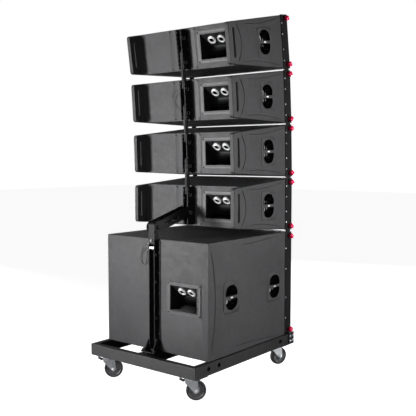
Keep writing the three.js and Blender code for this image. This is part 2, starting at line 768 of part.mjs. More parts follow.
// Each loudspeaker turns about the pins at its lower front corners; the next one's pins sit in its lugs.
let hinge = new THREE.Vector3(0, SUB_FRONT_Y + PIN_Y, SUB_TOP_Z + SUB_GAP + PIN_Z);
let tilt = 0;
for (let level = 1; level <= ELEMENT_COUNT; level++) {
  tilt -= radians(SPLAY_DEG[level - 1]);
  const body = new THREE.Group();
  body.position.copy(hinge);
  body.rotation.x = tilt;
  const element = new THREE.Group();
  element.position.set(0, -PIN_Y, -PIN_Z);
  body.add(element);
  stack.add(body);
  stack.updateMatrixWorld(true);
  const name = `element_${level}`;
  const isTop = level === ELEMENT_COUNT;
  const lowPin =
    level === 1 ? [ARM_PIN_Y, ARM_PIN_Z, ARM_PIN_OVERHANG] : [RAIL_PIN_Y, LINK_LOW_PIN_Z, RAIL_PIN_OVERHANG];

  piece(`${name}_cabinet`, elementCabinet(), TEXTURED_PAINT, element);
  piece(
    `${name}_grille`,
    grille(2 * (HALF_W - ELEMENT_SIDE) - 2, WALL + 2, ELEMENT_H - WALL - 2, 0),
    PERFORATED_STEEL,
    element,
  );
  piece(`${name}_drivers`, elementDrivers(), PAPER_CONE, element);
  piece(`${name}_connector_dish`, connectorDish(PANEL_Y, MID_Z), BLACK_PLASTIC, element);
  piece(`${name}_rear_rail`, rearRail(...lowPin), BLACK_STEEL, element);
  for (const [sideName, sign] of SIDES) {
    const gap = isTop ? 0 : ELEMENT_GAP;
    const plate = riggingPlate(sign, 0, 0, ELEMENT_H, gap, [ELEMENT_H - PIN_Z], true);
    piece(`${name}_${sideName}_rigging_plate`, plate, BLACK_STEEL, element);
    piece(`${name}_${sideName}_hinge_pin`, hingePin(sign, PIN_Y, PIN_Z), RED_PLASTIC, element);
  }
  if (level === 1) {
    const far = element.localToWorld(new THREE.Vector3(0, ARM_PIN_Y, ARM_PIN_Z));
    piece("tilt_arm", tiltArm(far.y, far.z), BLACK_STEEL, stack);
  }
  if (level === 3) piece(`${name}_lanyard`, wire(ELEMENT_LANYARD_ROUTE, 36), STEEL_WIRE, element);
  if (!isTop) {
    const link = new THREE.Group();
    link.position.set(0, RAIL_PIN_Y, LINK_TOP_PIN_Z);
    element.add(link);
    piece(`${name}_rear_link`, rearLink(linkAim(SPLAY_DEG[level])), BLACK_STEEL, link);
  }
  hinge = element.localToWorld(new THREE.Vector3(0, PIN_Y, ELEMENT_H + ELEMENT_GAP + PIN_Z));
}

export default stack;
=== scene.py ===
import json
from math import atan2, copysign, cos, pi, radians, sin, sqrt

import bmesh
import bpy
from mathutils import Matrix, Vector


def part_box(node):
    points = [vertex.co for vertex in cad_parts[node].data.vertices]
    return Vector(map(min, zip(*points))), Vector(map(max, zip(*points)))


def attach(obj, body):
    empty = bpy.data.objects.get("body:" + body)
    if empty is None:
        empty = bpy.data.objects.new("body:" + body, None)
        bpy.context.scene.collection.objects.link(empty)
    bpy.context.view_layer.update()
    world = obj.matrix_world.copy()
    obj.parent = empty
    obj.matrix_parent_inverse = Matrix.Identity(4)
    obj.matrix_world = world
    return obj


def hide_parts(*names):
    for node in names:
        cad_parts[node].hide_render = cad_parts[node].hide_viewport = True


# Visual model of a ground-stacked line array: four wedge elements on a subwoofer and a wheeled dolly.
# Metres, +Z up, the loudspeakers fire towards -Y. An element's own frame has y running back from its
# front face and z up from its lower front edge.
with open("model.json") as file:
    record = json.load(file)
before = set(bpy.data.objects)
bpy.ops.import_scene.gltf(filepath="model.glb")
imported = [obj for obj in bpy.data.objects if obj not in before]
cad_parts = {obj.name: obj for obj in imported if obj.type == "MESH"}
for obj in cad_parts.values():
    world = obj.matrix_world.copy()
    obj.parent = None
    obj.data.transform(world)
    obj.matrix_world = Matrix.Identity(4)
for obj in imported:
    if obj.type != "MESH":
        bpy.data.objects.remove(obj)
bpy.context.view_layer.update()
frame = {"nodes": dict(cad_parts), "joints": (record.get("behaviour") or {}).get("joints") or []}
nodes = frame["nodes"]
shift = Matrix.Translation

# ---------- driving dimensions, read from the frame ----------
LEVELS = (1, 2, 3, 4)
TILT_DEG = {1: 0, 2: 2, 3: 4, 4: 8}
JOINTS = {joint["name"]: joint for joint in frame["joints"]}
FIRST_LOW, FIRST_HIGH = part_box("element_1_cabinet")
HALF_W = FIRST_HIGH.x
ELEMENT_D = FIRST_HIGH.y - FIRST_LOW.y
ELEMENT_H = FIRST_HIGH.z - FIRST_LOW.z
ELEMENT_MID_Z = ELEMENT_H / 2
ELEMENT_TAPER = 0.045
FIRST_ORIGIN = Vector((0, FIRST_LOW.y, FIRST_LOW.z))
PIN = Vector(JOINTS["element_1_splay"]["pos_m"]) - FIRST_ORIGIN
PANEL_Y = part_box("element_1_rear_rail")[0].y - FIRST_LOW.y

SUB_LOW, SUB_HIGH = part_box("sub_cabinet")
SUB_MID_Z = (SUB_LOW.z + SUB_HIGH.z) / 2
SUB_REAR_Y = SUB_HIGH.y

CUP_W = 0.104
CUP_H = 0.130
HANDLE_Y = 0.237
SUB_HANDLES_Y = (SUB_REAR_Y - 0.189, SUB_REAR_Y - 0.586)
KNOB_TIP_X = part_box("element_1_left_hinge_pin")[1].x
PLATE_OUTER_X = 0.351
RAIL_HALF_W = 0.018
RAIL_PIN_Y = PANEL_Y + 0.030
RAIL_PINS_Z = (0.089, 0.216)
ARM_PIN = (PANEL_Y + 0.038, 0.122)
ARM_OUTER_X = 0.0285
ARM_PIVOT = Vector(JOINTS["tilt_arm_pivot"]["pos_m"])

DOLLY_LOW, DOLLY_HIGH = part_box("dolly_frame")
DOLLY_HALF_W = 0.362
DOLLY_REAR_Y = DOLLY_HIGH.y
DOLLY_FRONT_Y = DOLLY_LOW.y
DECK_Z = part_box("rear_post")[0].z
CASTER_PLATE_Z = DOLLY_LOW.z
POST_REAR_Y = SUB_REAR_Y + 0.026
SIDES = {"left": 1, "right": -1}

# Directions of a flat piece: its own x, y and outward z, as columns.
FACING_LEFT = Matrix(((0, 0, 1), (1, 0, 0), (0, 1, 0))).to_4x4()
FACING_REAR = Matrix(((-1, 0, 0), (0, 0, 1), (0, 1, 0))).to_4x4()
FACING_FRONT = Matrix(((1, 0, 0), (0, 0, -1), (0, 1, 0))).to_4x4()
# Lays a lathed piece's axis along x.
ALONG_X = Matrix.Rotation(pi / 2, 4, "Y")


def element_place(level):
    """Matrix from an element's own frame to the object's frame."""
    hinge = Vector(JOINTS[f"element_{level}_splay"]["pos_m"])
    turn = Matrix.Rotation(-radians(TILT_DEG[level]), 4, "X")
    return shift(hinge) @ turn @ shift(-PIN)


# ---------- camera ----------
CAMERA_AT = (-2.405, 2.9155, 1.1766)
CAMERA_TURN_DEG = (85.921, 0, 218.446)
CAMERA_LENS = 59.71


def linked(name, data):
    """A new object in the scene."""
    made = bpy.data.objects.new(name, data)
    bpy.context.scene.collection.objects.link(made)
    return made


def add_camera():
    data = bpy.data.cameras.new("camera")
    data.lens = CAMERA_LENS
    camera = linked("camera", data)
    camera.location = CAMERA_AT
    camera.rotation_euler = [radians(a) for a in CAMERA_TURN_DEG]
    bpy.context.scene.camera = camera


# ---------- materials ----------
def node_of(tree, kind, **inputs):
    made = tree.nodes.new(kind)
    for name, value in inputs.items():
        made.inputs[name.replace("_", " ")].default_value = value
    return made


def ramp_of(tree, factor, stops):
    """Colour ramp driven by a factor; stops are (position, grey or colour)."""
    ramp = tree.nodes.new("ShaderNodeValToRGB")
    elements = ramp.color_ramp.elements
    while len(elements) < len(stops):
        elements.new(0.5)
    for element, (position, colour) in zip(elements, stops):
        element.position = position
        element.color = (*colour, 1) if isinstance(colour, tuple) else (colour, colour, colour, 1)
    tree.links.new(factor, ramp.inputs["Fac"])
    return ramp.outputs["Color"]


def drifting(tree, coords, scale, detail, roughness, low, high):
    """Ramp between two values over cloudy noise; low and high are (position, value)."""
    noise = node_of(tree, "ShaderNodeTexNoise", Scale=scale, Detail=detail, Roughness=roughness)
    tree.links.new(coords, noise.inputs["Vector"])
    return ramp_of(tree, noise.outputs["Fac"], [low, high])


def surface(name, colours, roughness, grain, metallic=0.0, broad=7.0, pebbled=False, **constants):
    """Material with drifting colour and roughness and a fine grain in its bump.
    grain is (scale per metre, depth in metres)."""
    material = bpy.data.materials.new(name)
    material.use_nodes = True
    tree = material.node_tree
    shader = tree.nodes["Principled BSDF"]
    coords = tree.nodes.new("ShaderNodeTexCoord").outputs["Object"]
    colour = drifting(tree, coords, broad, 6.0, 0.62, (0.3, colours[0]), (0.72, colours[1]))
    tree.links.new(colour, shader.inputs["Base Color"])
    sheen = drifting(tree, coords, broad * 6, 8.0, 0.7, (0.3, roughness[0]), (0.7, roughness[1]))
    tree.links.new(sheen, shader.inputs["Roughness"])
    scale, depth = grain
    if pebbled:
        fine = node_of(tree, "ShaderNodeTexVoronoi", Scale=scale)
    else:
        fine = node_of(tree, "ShaderNodeTexNoise", Scale=scale, Detail=3.0)
    tree.links.new(coords, fine.inputs["Vector"])
    bump = node_of(tree, "ShaderNodeBump", Distance=depth, Strength=0.8)
    tree.links.new(fine.outputs[0], bump.inputs["Height"])
    tree.links.new(bump.outputs["Normal"], shader.inputs["Normal"])
    shader.inputs["Metallic"].default_value = metallic
    for socket, value in constants.items():
        shader.inputs[socket.replace("_", " ")].default_value = value
    return material


PAINT = surface("textured_paint", ((0.024, 0.024, 0.026), (0.035, 0.035, 0.038)), (0.50, 0.66),
                (430, 0.0007), pebbled=True)
PANEL = surface("smooth_panel", ((0.029, 0.029, 0.031), (0.040, 0.040, 0.043)), (0.44, 0.58), (1100, 0.0002))
STEEL = surface("black_powder_coat", ((0.003, 0.003, 0.0035), (0.007, 0.007, 0.008)), (0.42, 0.60),
                (1300, 0.00025), Specular_IOR_Level=0.18)
DOLLY_STEEL = surface("dolly_powder_coat", ((0.008, 0.008, 0.009), (0.016, 0.016, 0.018)), (0.38, 0.55),
                      (700, 0.0004))
PLASTIC = surface("moulded_plastic", ((0.010, 0.010, 0.011), (0.018, 0.018, 0.020)), (0.32, 0.46),
                  (1600, 0.0002))
GLOSS_BLACK = surface("polished_black", ((0.0015, 0.0015, 0.002), (0.004, 0.004, 0.0045)), (0.10, 0.22),
                      (2000, 0.00005))
CRIMSON = surface("crimson_knob", ((0.88, 0.006, 0.075), (1.0, 0.018, 0.135)), (0.18, 0.30),
                  (1200, 0.00008), broad=60.0, Coat_Weight=0.5)
# The knob's own crimson plastic, darkened for the neck as painted shade.
CRIMSON_PAINTED_SHADE = surface("crimson_neck_painted_shade", ((0.20, 0.003, 0.012), (0.32, 0.006, 0.026)), (0.25, 0.40),
                       (1200, 0.00008), broad=60.0)
ZINC = surface("zinc_plate", ((0.46, 0.48, 0.51), (0.74, 0.76, 0.79)), (0.26, 0.46),
               (1500, 0.0001), metallic=0.85, broad=40.0)
# Pale nickel: real metal on the connector rings and axle nuts, and a painted highlight on the handle grip
# bars and on the post's rear face.
NICKEL_AND_GLINT = surface("nickel_and_painted_glint", ((0.80, 0.80, 0.81), (0.95, 0.95, 0.95)), (0.34, 0.48),
                 (1500, 0.00005), metallic=0.35, broad=60.0)
TYRE = surface("grey_rubber", ((0.020, 0.020, 0.021), (0.046, 0.045, 0.044)), (0.55, 0.75),
               (800, 0.0003), broad=30.0)
HUB = surface("hub_plastic", ((0.10, 0.10, 0.11), (0.17, 0.17, 0.18)), (0.35, 0.50),
              (1400, 0.0001), broad=40.0)
PAPER = surface("cone_paper", ((0.010, 0.010, 0.011), (0.024, 0.023, 0.022)), (0.70, 0.90),
                (500, 0.0008), broad=50.0)
SURROUND = surface("rubber_surround", ((0.010, 0.010, 0.010), (0.016, 0.016, 0.017)), (0.40, 0.55),
                   (900, 0.0001), broad=40.0)
WIRE = surface("coated_wire", ((0.010, 0.010, 0.011), (0.034, 0.034, 0.036)), (0.35, 0.5),
               (2500, 0.0004), broad=300.0)


# ---------- mesh helpers ----------
def finished(mesh, sharp_deg=38):
    """Smooth shading with sharp edges above an angle."""
    mesh.shade_smooth()
    mesh.set_sharp_from_angle(angle=radians(sharp_deg))
    return mesh


def mesh_of(name, verts, faces, sharp_deg=38):
    mesh = bpy.data.meshes.new(name)
    mesh.from_pydata(verts, [], faces)
    mesh.validate()
    return finished(mesh, sharp_deg)


def moved(mesh, *matrices):
    """A copy of a mesh turned and placed by matrices, the last one first."""
    copy = mesh.copy()
    for matrix in reversed(matrices):
        copy.transform(matrix)
        if matrix.determinant() < 0:
            copy.flip_normals()
    return copy


def mesh_from(name, shell):
    """The mesh of a bmesh, which is freed."""
    mesh = bpy.data.meshes.new(name)
    shell.to_mesh(mesh)
    shell.free()
    return mesh


def joined(name, meshes):
    """One mesh made of several."""
    whole = bmesh.new()
    for mesh in meshes:
        whole.from_mesh(mesh)
    return finished(mesh_from(name, whole))


def on_side(mesh, sign):
    """A mesh made for the left side, or its mirror image for the right."""
    return mesh if sign > 0 else moved(mesh, Matrix.Scale(-1, 4, (1, 0, 0)))


def add_modifiers(piece, steps):
    """Adds (modifier type, settings) steps to an object."""
    for kind, settings in steps:
        modifier = piece.modifiers.new(kind.lower(), kind)
        for key, value in settings.items():
            setattr(modifier, key, value)


def settled(name, data, steps=()):
    """The mesh that a mesh or curve becomes after (modifier type, settings) steps."""
    holder = linked(name, data)
    add_modifiers(holder, steps)
    depsgraph = bpy.context.evaluated_depsgraph_get()
    made = bpy.data.meshes.new_from_object(holder.evaluated_get(depsgraph))
    made.name = name
    bpy.data.objects.remove(holder)
    return made


def clear_shading(mesh):
    """Removes stored normals and sharp edges, so that only the shape sets the shading."""
    for name in ("custom_normal", "sharp_edge"):
        if name in mesh.attributes:
            mesh.attributes.remove(mesh.attributes[name])
    mesh.shade_smooth()


def softening(width):
    """Modifier steps that weld a faceted solid, clear its flat faces and round its edges."""
    return [
        ("WELD", {"merge_threshold": 1e-5}),
        ("DECIMATE", {"decimate_type": "DISSOLVE", "angle_limit": radians(0.6)}),
        ("BEVEL", {"width": width, "segments": 2, "limit_method": "ANGLE", "angle_limit": radians(32),
                   "miter_outer": "MITER_ARC"}),
    ]


def soften(node, material, width):
    """Finishes a CAD node that stays: rounded edges, smooth shading and a material."""
    piece = nodes[node]
    clear_shading(piece.data)
    add_modifiers(piece, softening(width))
    piece.modifiers["bevel"].harden_normals = True
    piece.data.materials.clear()
    piece.data.materials.append(material)


def add(name, mesh, material, body, place=None, stands_for=()):
    """Puts a mesh into the object as one piece that rides on a body."""
    piece = linked(name, mesh)
    if not mesh.materials:
        mesh.materials.append(material)
    if place is not None:
        piece.matrix_world = place
    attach(piece, body)
    if stands_for:
        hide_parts(*stands_for)
    return piece


def add_pieces(prefix, pieces, body, place=None):
    """Adds (name, mesh, material, slot) pieces that ride on one body."""
    for part, mesh, material, slot in pieces:
        add(f"{prefix}_{part}", mesh, material, body, place)


def arc(cx, cy, radius, start_deg, steps):
    """Points of a quarter circle."""
    turns = [radians(start_deg + 90 * i / steps) for i in range(steps + 1)]
    return [(cx + radius * cos(t), cy + radius * sin(t)) for t in turns]


def rounded_box_loop(width, height, radius, steps=6):
    """Outline of a rectangle with round corners."""
    points = []
    for quarter, (sx, sy) in enumerate(((1, 1), (-1, 1), (-1, -1), (1, -1))):
        points += arc(sx * (width / 2 - radius), sy * (height / 2 - radius), radius, 90 * quarter, steps)
    return points


def corners_of(centre, half_w, half_h):
    """Corners of an upright rectangle that faces the rear."""
    x, y, z = centre
    return [(x + sx * half_w, y, z + sz * half_h) for sx in (-1, 1) for sz in (-1, 1)]


def curve_of(name, lines, dimensions, closed, **settings):
    """Curve of straight stretches through lists of points."""
    curve = bpy.data.curves.new(name, "CURVE")
    curve.dimensions = dimensions
    for key, value in settings.items():
        setattr(curve, key, value)
    for line in lines:
        spline = curve.splines.new("POLY")
        spline.points.add(len(line) - 1)
        for point, at in zip(spline.points, line):
            point.co = (*at, 1)
        spline.use_cyclic_u = closed
    return curve


def plate(name, loops, thickness, bevel):
    """Flat plate from an outline and its holes, standing on z = 0, with rounded edges."""
    lines = [[(x, y, 0) for x, y in loop] for loop in loops]
    curve = curve_of(name, lines, "2D", True, fill_mode="BOTH", extrude=thickness / 2 - bevel,
                     bevel_depth=bevel, bevel_resolution=1, offset=-bevel)
    mesh = settled(name, curve)
    mesh.transform(shift((0, 0, thickness / 2)))
    return settled(name, finished(mesh), [("WELD", {"merge_threshold": 1e-6})])


def cup_faces(rings, count, flipped=False):
    """Quads between successive rings of count points, and a cap on the last ring."""
    faces = []
    last = (rings - 1) * count
    for a in range(0, last, count):
        b = a + count
        for i in range(count):
            j = (i + 1) % count
            faces.append((a + i, a + j, b + j, b + i) if flipped else (a + j, a + i, b + i, b + j))
    faces.append([last + i for i in range(count)])
    return faces


def lathe(name, profile, segments=40, sharp_deg=32):
    """Surface turned about z from (radius, height) points; a profile that ends where it starts is a ring."""
    verts, faces, rings = [], [], []
    for index, (radius, height) in enumerate(profile):
        if index and (radius, height) == profile[0]:
            rings.append(rings[0])
            continue
        count = 1 if radius == 0 else segments
        rings.append(range(len(verts), len(verts) + count))
        for i in range(count):
            angle = 2 * pi * i / segments
            verts.append((radius * cos(angle), radius * sin(angle), height))
    for low, high in zip(rings, rings[1:]):
        for i in range(segments):
            j = (i + 1) % segments
            ring = [low[i % len(low)], low[j % len(low)], high[j % len(high)], high[i % len(high)]]
            face = list(dict.fromkeys(ring))
            if len(face) > 2:
                faces.append(face)
    return mesh_of(name, verts, faces, sharp_deg)


def bar_curve(name, points, radius, resolution, closed=False):
    """Curve that draws a round bar along points."""
    return curve_of(name, [points], "3D", closed, bevel_depth=radius, bevel_resolution=resolution,
                    use_fill_caps=True)


def tube(name, points, radius, closed=False):
    """Round bar along points."""
    return finished(settled(name, bar_curve(name, points, radius, 1, closed)), 50)


def through(start, middle, end, count=24):
    """Points on the parabola that passes three points."""
    points = []
    for i in range(count + 1):
        t = i / count
        weights = ((1 - t) * (1 - 2 * t), 4 * t * (1 - t), t * (2 * t - 1))
        points.append(tuple(sum(w * v for w, v in zip(weights, axis)) for axis in zip(start, middle, end)))
    return points


# ---------- wire lanyards ----------
WIRE_D = 0.003
SUB_LANYARD_ROUTE = [
    (0.021, 0.340, 0.744), (0.034, 0.342, 0.742), (0.052, 0.341, 0.732), (0.070, 0.338, 0.714),
    (0.085, 0.334, 0.692), (0.094, 0.332, 0.668), (0.093, 0.331, 0.646), (0.082, 0.330, 0.631),
    (0.066, 0.330, 0.630), (0.054, 0.331, 0.645), (0.048, 0.333, 0.668), (0.042, 0.336, 0.692),
    (0.033, 0.339, 0.710), (0.021, 0.340, 0.718),
]
ELEMENT_LANYARD_ROUTE = [
    (0.019, 0.506, 0.196), (0.032, 0.507, 0.201), (0.054, 0.504, 0.200), (0.076, 0.498, 0.190),
    (0.093, 0.490, 0.173), (0.099, 0.484, 0.152), (0.093, 0.481, 0.131), (0.078, 0.481, 0.114),
    (0.058, 0.485, 0.102), (0.038, 0.492, 0.098), (0.019, 0.500, 0.102),
]
LANYARD_LEVEL = 3


def smooth_route(route, steps=8):
    """Points of a Catmull-Rom curve through a route."""
    ends = [2 * route[0] - route[1], *route, 2 * route[-1] - route[-2]]
    points = []
    for a, b, c, d in zip(ends, ends[1:], ends[2:], ends[3:]):
        for i in range(steps):
            t = i / steps
            points.append(0.5 * (2 * b + (c - a) * t + (2 * a - 5 * b + 4 * c - d) * t ** 2
                                 + (3 * b - a - 3 * c + d) * t ** 3))
    return [*points, route[-1]]


def add_lanyard(name, node, body, route):
    points = smooth_route(route)
    curve = bar_curve(name, points, WIRE_D / 2, 2)
    curve.materials.append(WIRE)
    piece = linked(name, curve)
    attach(piece, body)
    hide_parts(node)
    crimps = []
    for near, far in ((points[0], points[10]), (points[-1], points[-11])):
        direction = (far - near).normalized()
        crimps.append(tube("crimp", [near + direction * 0.004, near + direction * 0.016], 0.0027))
    add(f"{name}_crimps", joined("crimps", crimps), ZINC, body)


add_camera()
add_lanyard("sub_wire_lanyard", "sub_lanyard", "base", [Vector(p) for p in SUB_LANYARD_ROUTE])
add_lanyard("element_3_wire_lanyard", "element_3_lanyard", "element_3",
            [element_place(LANYARD_LEVEL) @ Vector(p) for p in ELEMENT_LANYARD_ROUTE])


# ---------- cabinets ----------
GROOVE_FADE = 3
CABINET_EDGE_R = 0.0042
LONG_EDGE = 0.08
CORNER_BAND = 0.0165
INNER_EDGE_SHARE = 0.35
BROAD_GROOVE = (0.0075, 0.0050)
FINE_GROOVE = (0.0036, 0.0020)


def box_mesh(name, low, high):
    """Plain box between two corners."""
    shell = bmesh.new()
    bmesh.ops.create_cube(shell, size=1)
    size = Vector(high) - Vector(low)
    middle = (Vector(high) + Vector(low)) / 2
    bmesh.ops.transform(shell, matrix=shift(middle) @ Matrix.Diagonal((*size, 1)), verts=shell.verts)
    return mesh_from(name, shell)


def groove_cutter(name, line, width, full_depth):
    """Wedge along a (y, z) line that cuts a V groove in the left side face, fading out at both ends."""
    verts, faces = [], []
    last = len(line) - 1
    above = 0.002
    for i, (y, z) in enumerate(line):
        before, after = line[max(i - 1, 0)], line[min(i + 1, last)]
        along = Vector((after[0] - before[0], after[1] - before[1])).normalized()
        share = max(0.15, min(1, i / GROOVE_FADE, (last - i) / GROOVE_FADE))
        depth = full_depth * share
        across = Vector((-along.y, along.x)) * width / 2 * share * (1 + above / depth)
        for offset in (-across, across):
            verts.append((HALF_W + above, y + offset.x, z + offset.y))
        verts.append((HALF_W - depth, y, z))
    for i in range(last):
        a, b = 3 * i, 3 * i + 3
        faces += [(a, b, b + 1, a + 1), (a + 1, b + 1, b + 2, a + 2), (a + 2, b + 2, b, a)]
    faces += [(0, 1, 2), (3 * last + 2, 3 * last + 1, 3 * last)]
    shell = bmesh.new()
    shell.from_mesh(mesh_of(name, verts, faces))
    bmesh.ops.recalc_face_normals(shell, faces=shell.faces)
    return mesh_from(name, shell)


def weigh_edges(mesh):
    """Gives a cabinet's outline a full bevel weight and its other long convex edges a small one."""
    shell = bmesh.new()
    shell.from_mesh(mesh)
    weight = shell.edges.layers.float.new("bevel_weight_edge")
    rear = max(v.co.y for v in shell.verts)
    for edge in shell.edges:
        if edge.calc_face_angle_signed(0) < radians(50):
            continue
        on_outline = all(abs(v.co.x) > HALF_W - 1e-4 for v in edge.verts)
        in_corner = all(v.co.y > rear - CORNER_BAND for v in edge.verts)
        if on_outline and (edge.calc_length() > LONG_EDGE or in_corner):
            edge[weight] = 1
        elif edge.calc_length() > LONG_EDGE:
            edge[weight] = INNER_EDGE_SHARE
    shell.to_mesh(mesh)
    shell.free()


def bar_cutters(handle_spots):
    """Boxes that clear the plain grip bars out of the left side's cups at (y, z) spots."""
    half_l, half_h = CUP_W / 2 + 0.0013, 0.0125
    inner_x, outer_x = HALF_W - 0.0215, HALF_W - 0.0035
    return [box_mesh("bar", (inner_x, y - half_l, z - half_h), (outer_x, y + half_l, z + half_h))
            for y, z in handle_spots]


def carved(name, mesh, grooves, handle_spots):
    """A cabinet with rounded edges, grooves in both side faces and cups without their plain bars."""
    flat = settled(name, mesh, softening(CABINET_EDGE_R)[:2])
    weigh_edges(flat)
    cutters = [groove_cutter("groove", line, *size) for line, size in grooves] + bar_cutters(handle_spots)
    both = joined("cutters", [on_side(c, sign) for c in cutters for sign in SIDES.values()])
    tool = linked("tool", both)
    made = settled(name, flat, [
        ("BEVEL", {"width": CABINET_EDGE_R, "segments": 4, "limit_method": "WEIGHT",
                   "use_clamp_overlap": False}),
        ("BOOLEAN", {"operation": "DIFFERENCE", "solver": "MANIFOLD", "object": tool}),
    ])
    bpy.data.objects.remove(tool)
    made.materials.clear()
    return finished(made, 28)


def bare_copy(node, place):
    """A CAD node's mesh in its own frame, without stored shading."""
    mesh = moved(nodes[node].data, place.inverted())
    clear_shading(mesh)
    mesh.materials.clear()
    return mesh


def element_groove_lines():
    def low(y):
        return ELEMENT_TAPER * y / ELEMENT_D

    def high(y):
        return ELEMENT_H - low(y)

    rear = through((0.490, high(0.490) - 0.006), (0.447, ELEMENT_MID_Z), (0.490, low(0.490) + 0.006))
    top = through((0.436, high(0.436) - 0.015), (0.280, high(0.280) - 0.027), (0.075, high(0.075) - 0.011))
    bottom = [(y, ELEMENT_H - z) for y, z in top]
    return [(rear, BROAD_GROOVE), (top, FINE_GROOVE), (bottom, FINE_GROOVE)]


def sub_groove_lines():
    rear = through((SUB_REAR_Y - 0.012, SUB_HIGH.z - 0.010), (SUB_REAR_Y - 0.056, SUB_MID_Z),
                   (SUB_REAR_Y - 0.012, SUB_LOW.z + 0.010))
    top = through((SUB_REAR_Y - 0.270, SUB_HIGH.z - 0.033), (SUB_REAR_Y - 0.470, SUB_HIGH.z - 0.025),
                  (SUB_REAR_Y - 0.671, SUB_HIGH.z - 0.005))
    bottom = through((SUB_REAR_Y - 0.193, SUB_LOW.z + 0.033), (SUB_REAR_Y - 0.430, SUB_LOW.z + 0.025),
                     (SUB_REAR_Y - 0.671, SUB_LOW.z + 0.005))
    return [(rear, BROAD_GROOVE), (top, FINE_GROOVE), (bottom, FINE_GROOVE)]


# ---------- cup handles ----------
CUP_R = 0.044
HANDLE_PLATE_W = 0.134
HANDLE_PLATE_H = 0.163
GRIP_HALF_H = 0.0072
BRIDGE_HALF_H = 0.0076
GRIP_OUTER_X = HALF_W - 0.0002
GRIP_INNER_X = HALF_W - 0.0200


def arched_loop(width, base_y, top_y, arch_r, corner_r, steps=8):
    """Outline with an arched top and nearly square lower corners."""
    corners = ((1, top_y - arch_r, arch_r), (-1, top_y - arch_r, arch_r),
               (-1, base_y + corner_r, corner_r), (1, base_y + corner_r, corner_r))
    points = []
    for quarter, (sx, cy, radius) in enumerate(corners):
        points += arc(sx * (width / 2 - radius), cy, radius, 90 * quarter, steps)
    return points


def handle_meshes():
    """Rim plate, cup liner and a small plate for the middle of the grip bar, which is given pale nickel as a
    painted highlight; around a point on the left side face: own x forward, y up, z out.
    """
    pocket = arched_loop(CUP_W - 0.003, BRIDGE_HALF_H, CUP_H / 2 - 0.0015, CUP_R, 0.007)
    mirrored = [(x, -y) for x, y in reversed(pocket)]
    outline = rounded_box_loop(HANDLE_PLATE_W, HANDLE_PLATE_H, 0.024, steps=8)
    rim = plate("handle_rim", [outline, pocket, mirrored], 0.0024, 0.0008)
    opening = rounded_box_loop(CUP_W - 0.003, CUP_H - 0.003, CUP_R, steps=8)
    verts = []
    rings = [(0.0004, 0.0), (-0.004, 0.0012), (-0.034, 0.003), (-0.044, 0.008), (-0.049, 0.017),
             (-0.0505, 0.030)]
    for depth, inset in rings:
        scale_x = 1 - 2 * inset / CUP_W
        scale_y = 1 - 2 * inset / CUP_H
        verts += [(x * scale_x, y * scale_y, depth) for x, y in opening]
    liner = mesh_of("handle_cup", verts, cup_faces(len(rings), len(opening)))
    # Small plate on the middle of the grip bar; its pale nickel is a painted highlight.
    glint_stud = plate("handle_glint_stud", [rounded_box_loop(0.020, 0.0085, 0.0042, steps=5)], 0.0018, 0.0006)
    return rim, liner, moved(glint_stud, shift((0, 0, 0.0020)))


def grip_mesh():
    """Rounded grip bar across a cup, bowed slightly outward in the middle."""
    verts, faces = [], []
    stations, sides = 17, 20
    half_l = CUP_W / 2 + 0.001
    mid_depth = (GRIP_OUTER_X + GRIP_INNER_X) / 2 - HALF_W
    half_depth = (GRIP_OUTER_X - GRIP_INNER_X) / 2
    for s in range(stations):
        u = -1 + 2 * s / (stations - 1)
        flare = 1 + 0.30 * abs(u) ** 6
        for k in range(sides):
            angle = 2 * pi * k / sides
            c, d = cos(angle), sin(angle)
            px = copysign(abs(c) ** 0.5, c) * GRIP_HALF_H * flare
            pz = copysign(abs(d) ** 0.6, d) * half_depth + mid_depth
            verts.append((u * half_l, px, pz))
    for s in range(stations - 1):
        for k in range(sides):
            m = (k + 1) % sides
            faces.append((s * sides + k, (s + 1) * sides + k, (s + 1) * sides + m, s * sides + m))
    faces.append(list(range(sides)))
    faces.append(list(reversed(range((stations - 1) * sides, stations * sides))))
    return mesh_of("handle_grip", verts, faces, 60)


HANDLE_RIM, HANDLE_CUP, HANDLE_GLINT_STUD = handle_meshes()
HANDLE_PARTS = (
    ("rim", HANDLE_RIM, PAINT, "textured_paint"),
    ("cup", HANDLE_CUP, GLOSS_BLACK, "black_plastic"),
    ("grip", grip_mesh(), GLOSS_BLACK, "black_plastic"),
    # Pale nickel plate on the grip bar: a painted highlight.
    ("glint_stud", HANDLE_GLINT_STUD, NICKEL_AND_GLINT, "zinc"),
)


def add_handle(name, body, sign, y, z, place):
    at = shift((HALF_W, y, z)) @ FACING_LEFT
    placed = [(part, on_side(moved(mesh, at), sign), *look) for part, mesh, *look in HANDLE_PARTS]
    add_pieces(name, placed, body, place)


# ---------- fasteners ----------
def screw_mesh(radius, height):
    """Domed screw head with a round socket."""
    profile = [(radius, -0.0006), (radius, height * 0.35), (radius * 0.85, height * 0.8),
               (radius * 0.5, height), (radius * 0.42, height), (radius * 0.42, height * 0.4),
               (0, height * 0.4)]
    return lathe("screw", profile, 18)


SCREW = screw_mesh(0.0042, 0.0026)
BIG_SCREW = screw_mesh(0.0075, 0.0045)


def hex_nut(across, height):
    """Hexagonal nut with a stub of thread, standing on z = 0."""
    points = [(across / 2 * cos(radians(60 * i)), across / 2 * sin(radians(60 * i)))
              for i in range(6)]
    nut = plate("nut", [points], height, height * 0.12)
    stub = lathe("stub", [(across * 0.27, 0), (across * 0.27, height * 1.4), (across * 0.22, height * 1.5),
                          (0, height * 1.5)], 16)
    return joined("nut", [nut, stub])


def spread(name, mesh, frame_matrix, places):
    """One mesh with a copy at each place, all turned the same way."""
    return joined(name, [moved(mesh, shift(p) @ frame_matrix) for p in places])


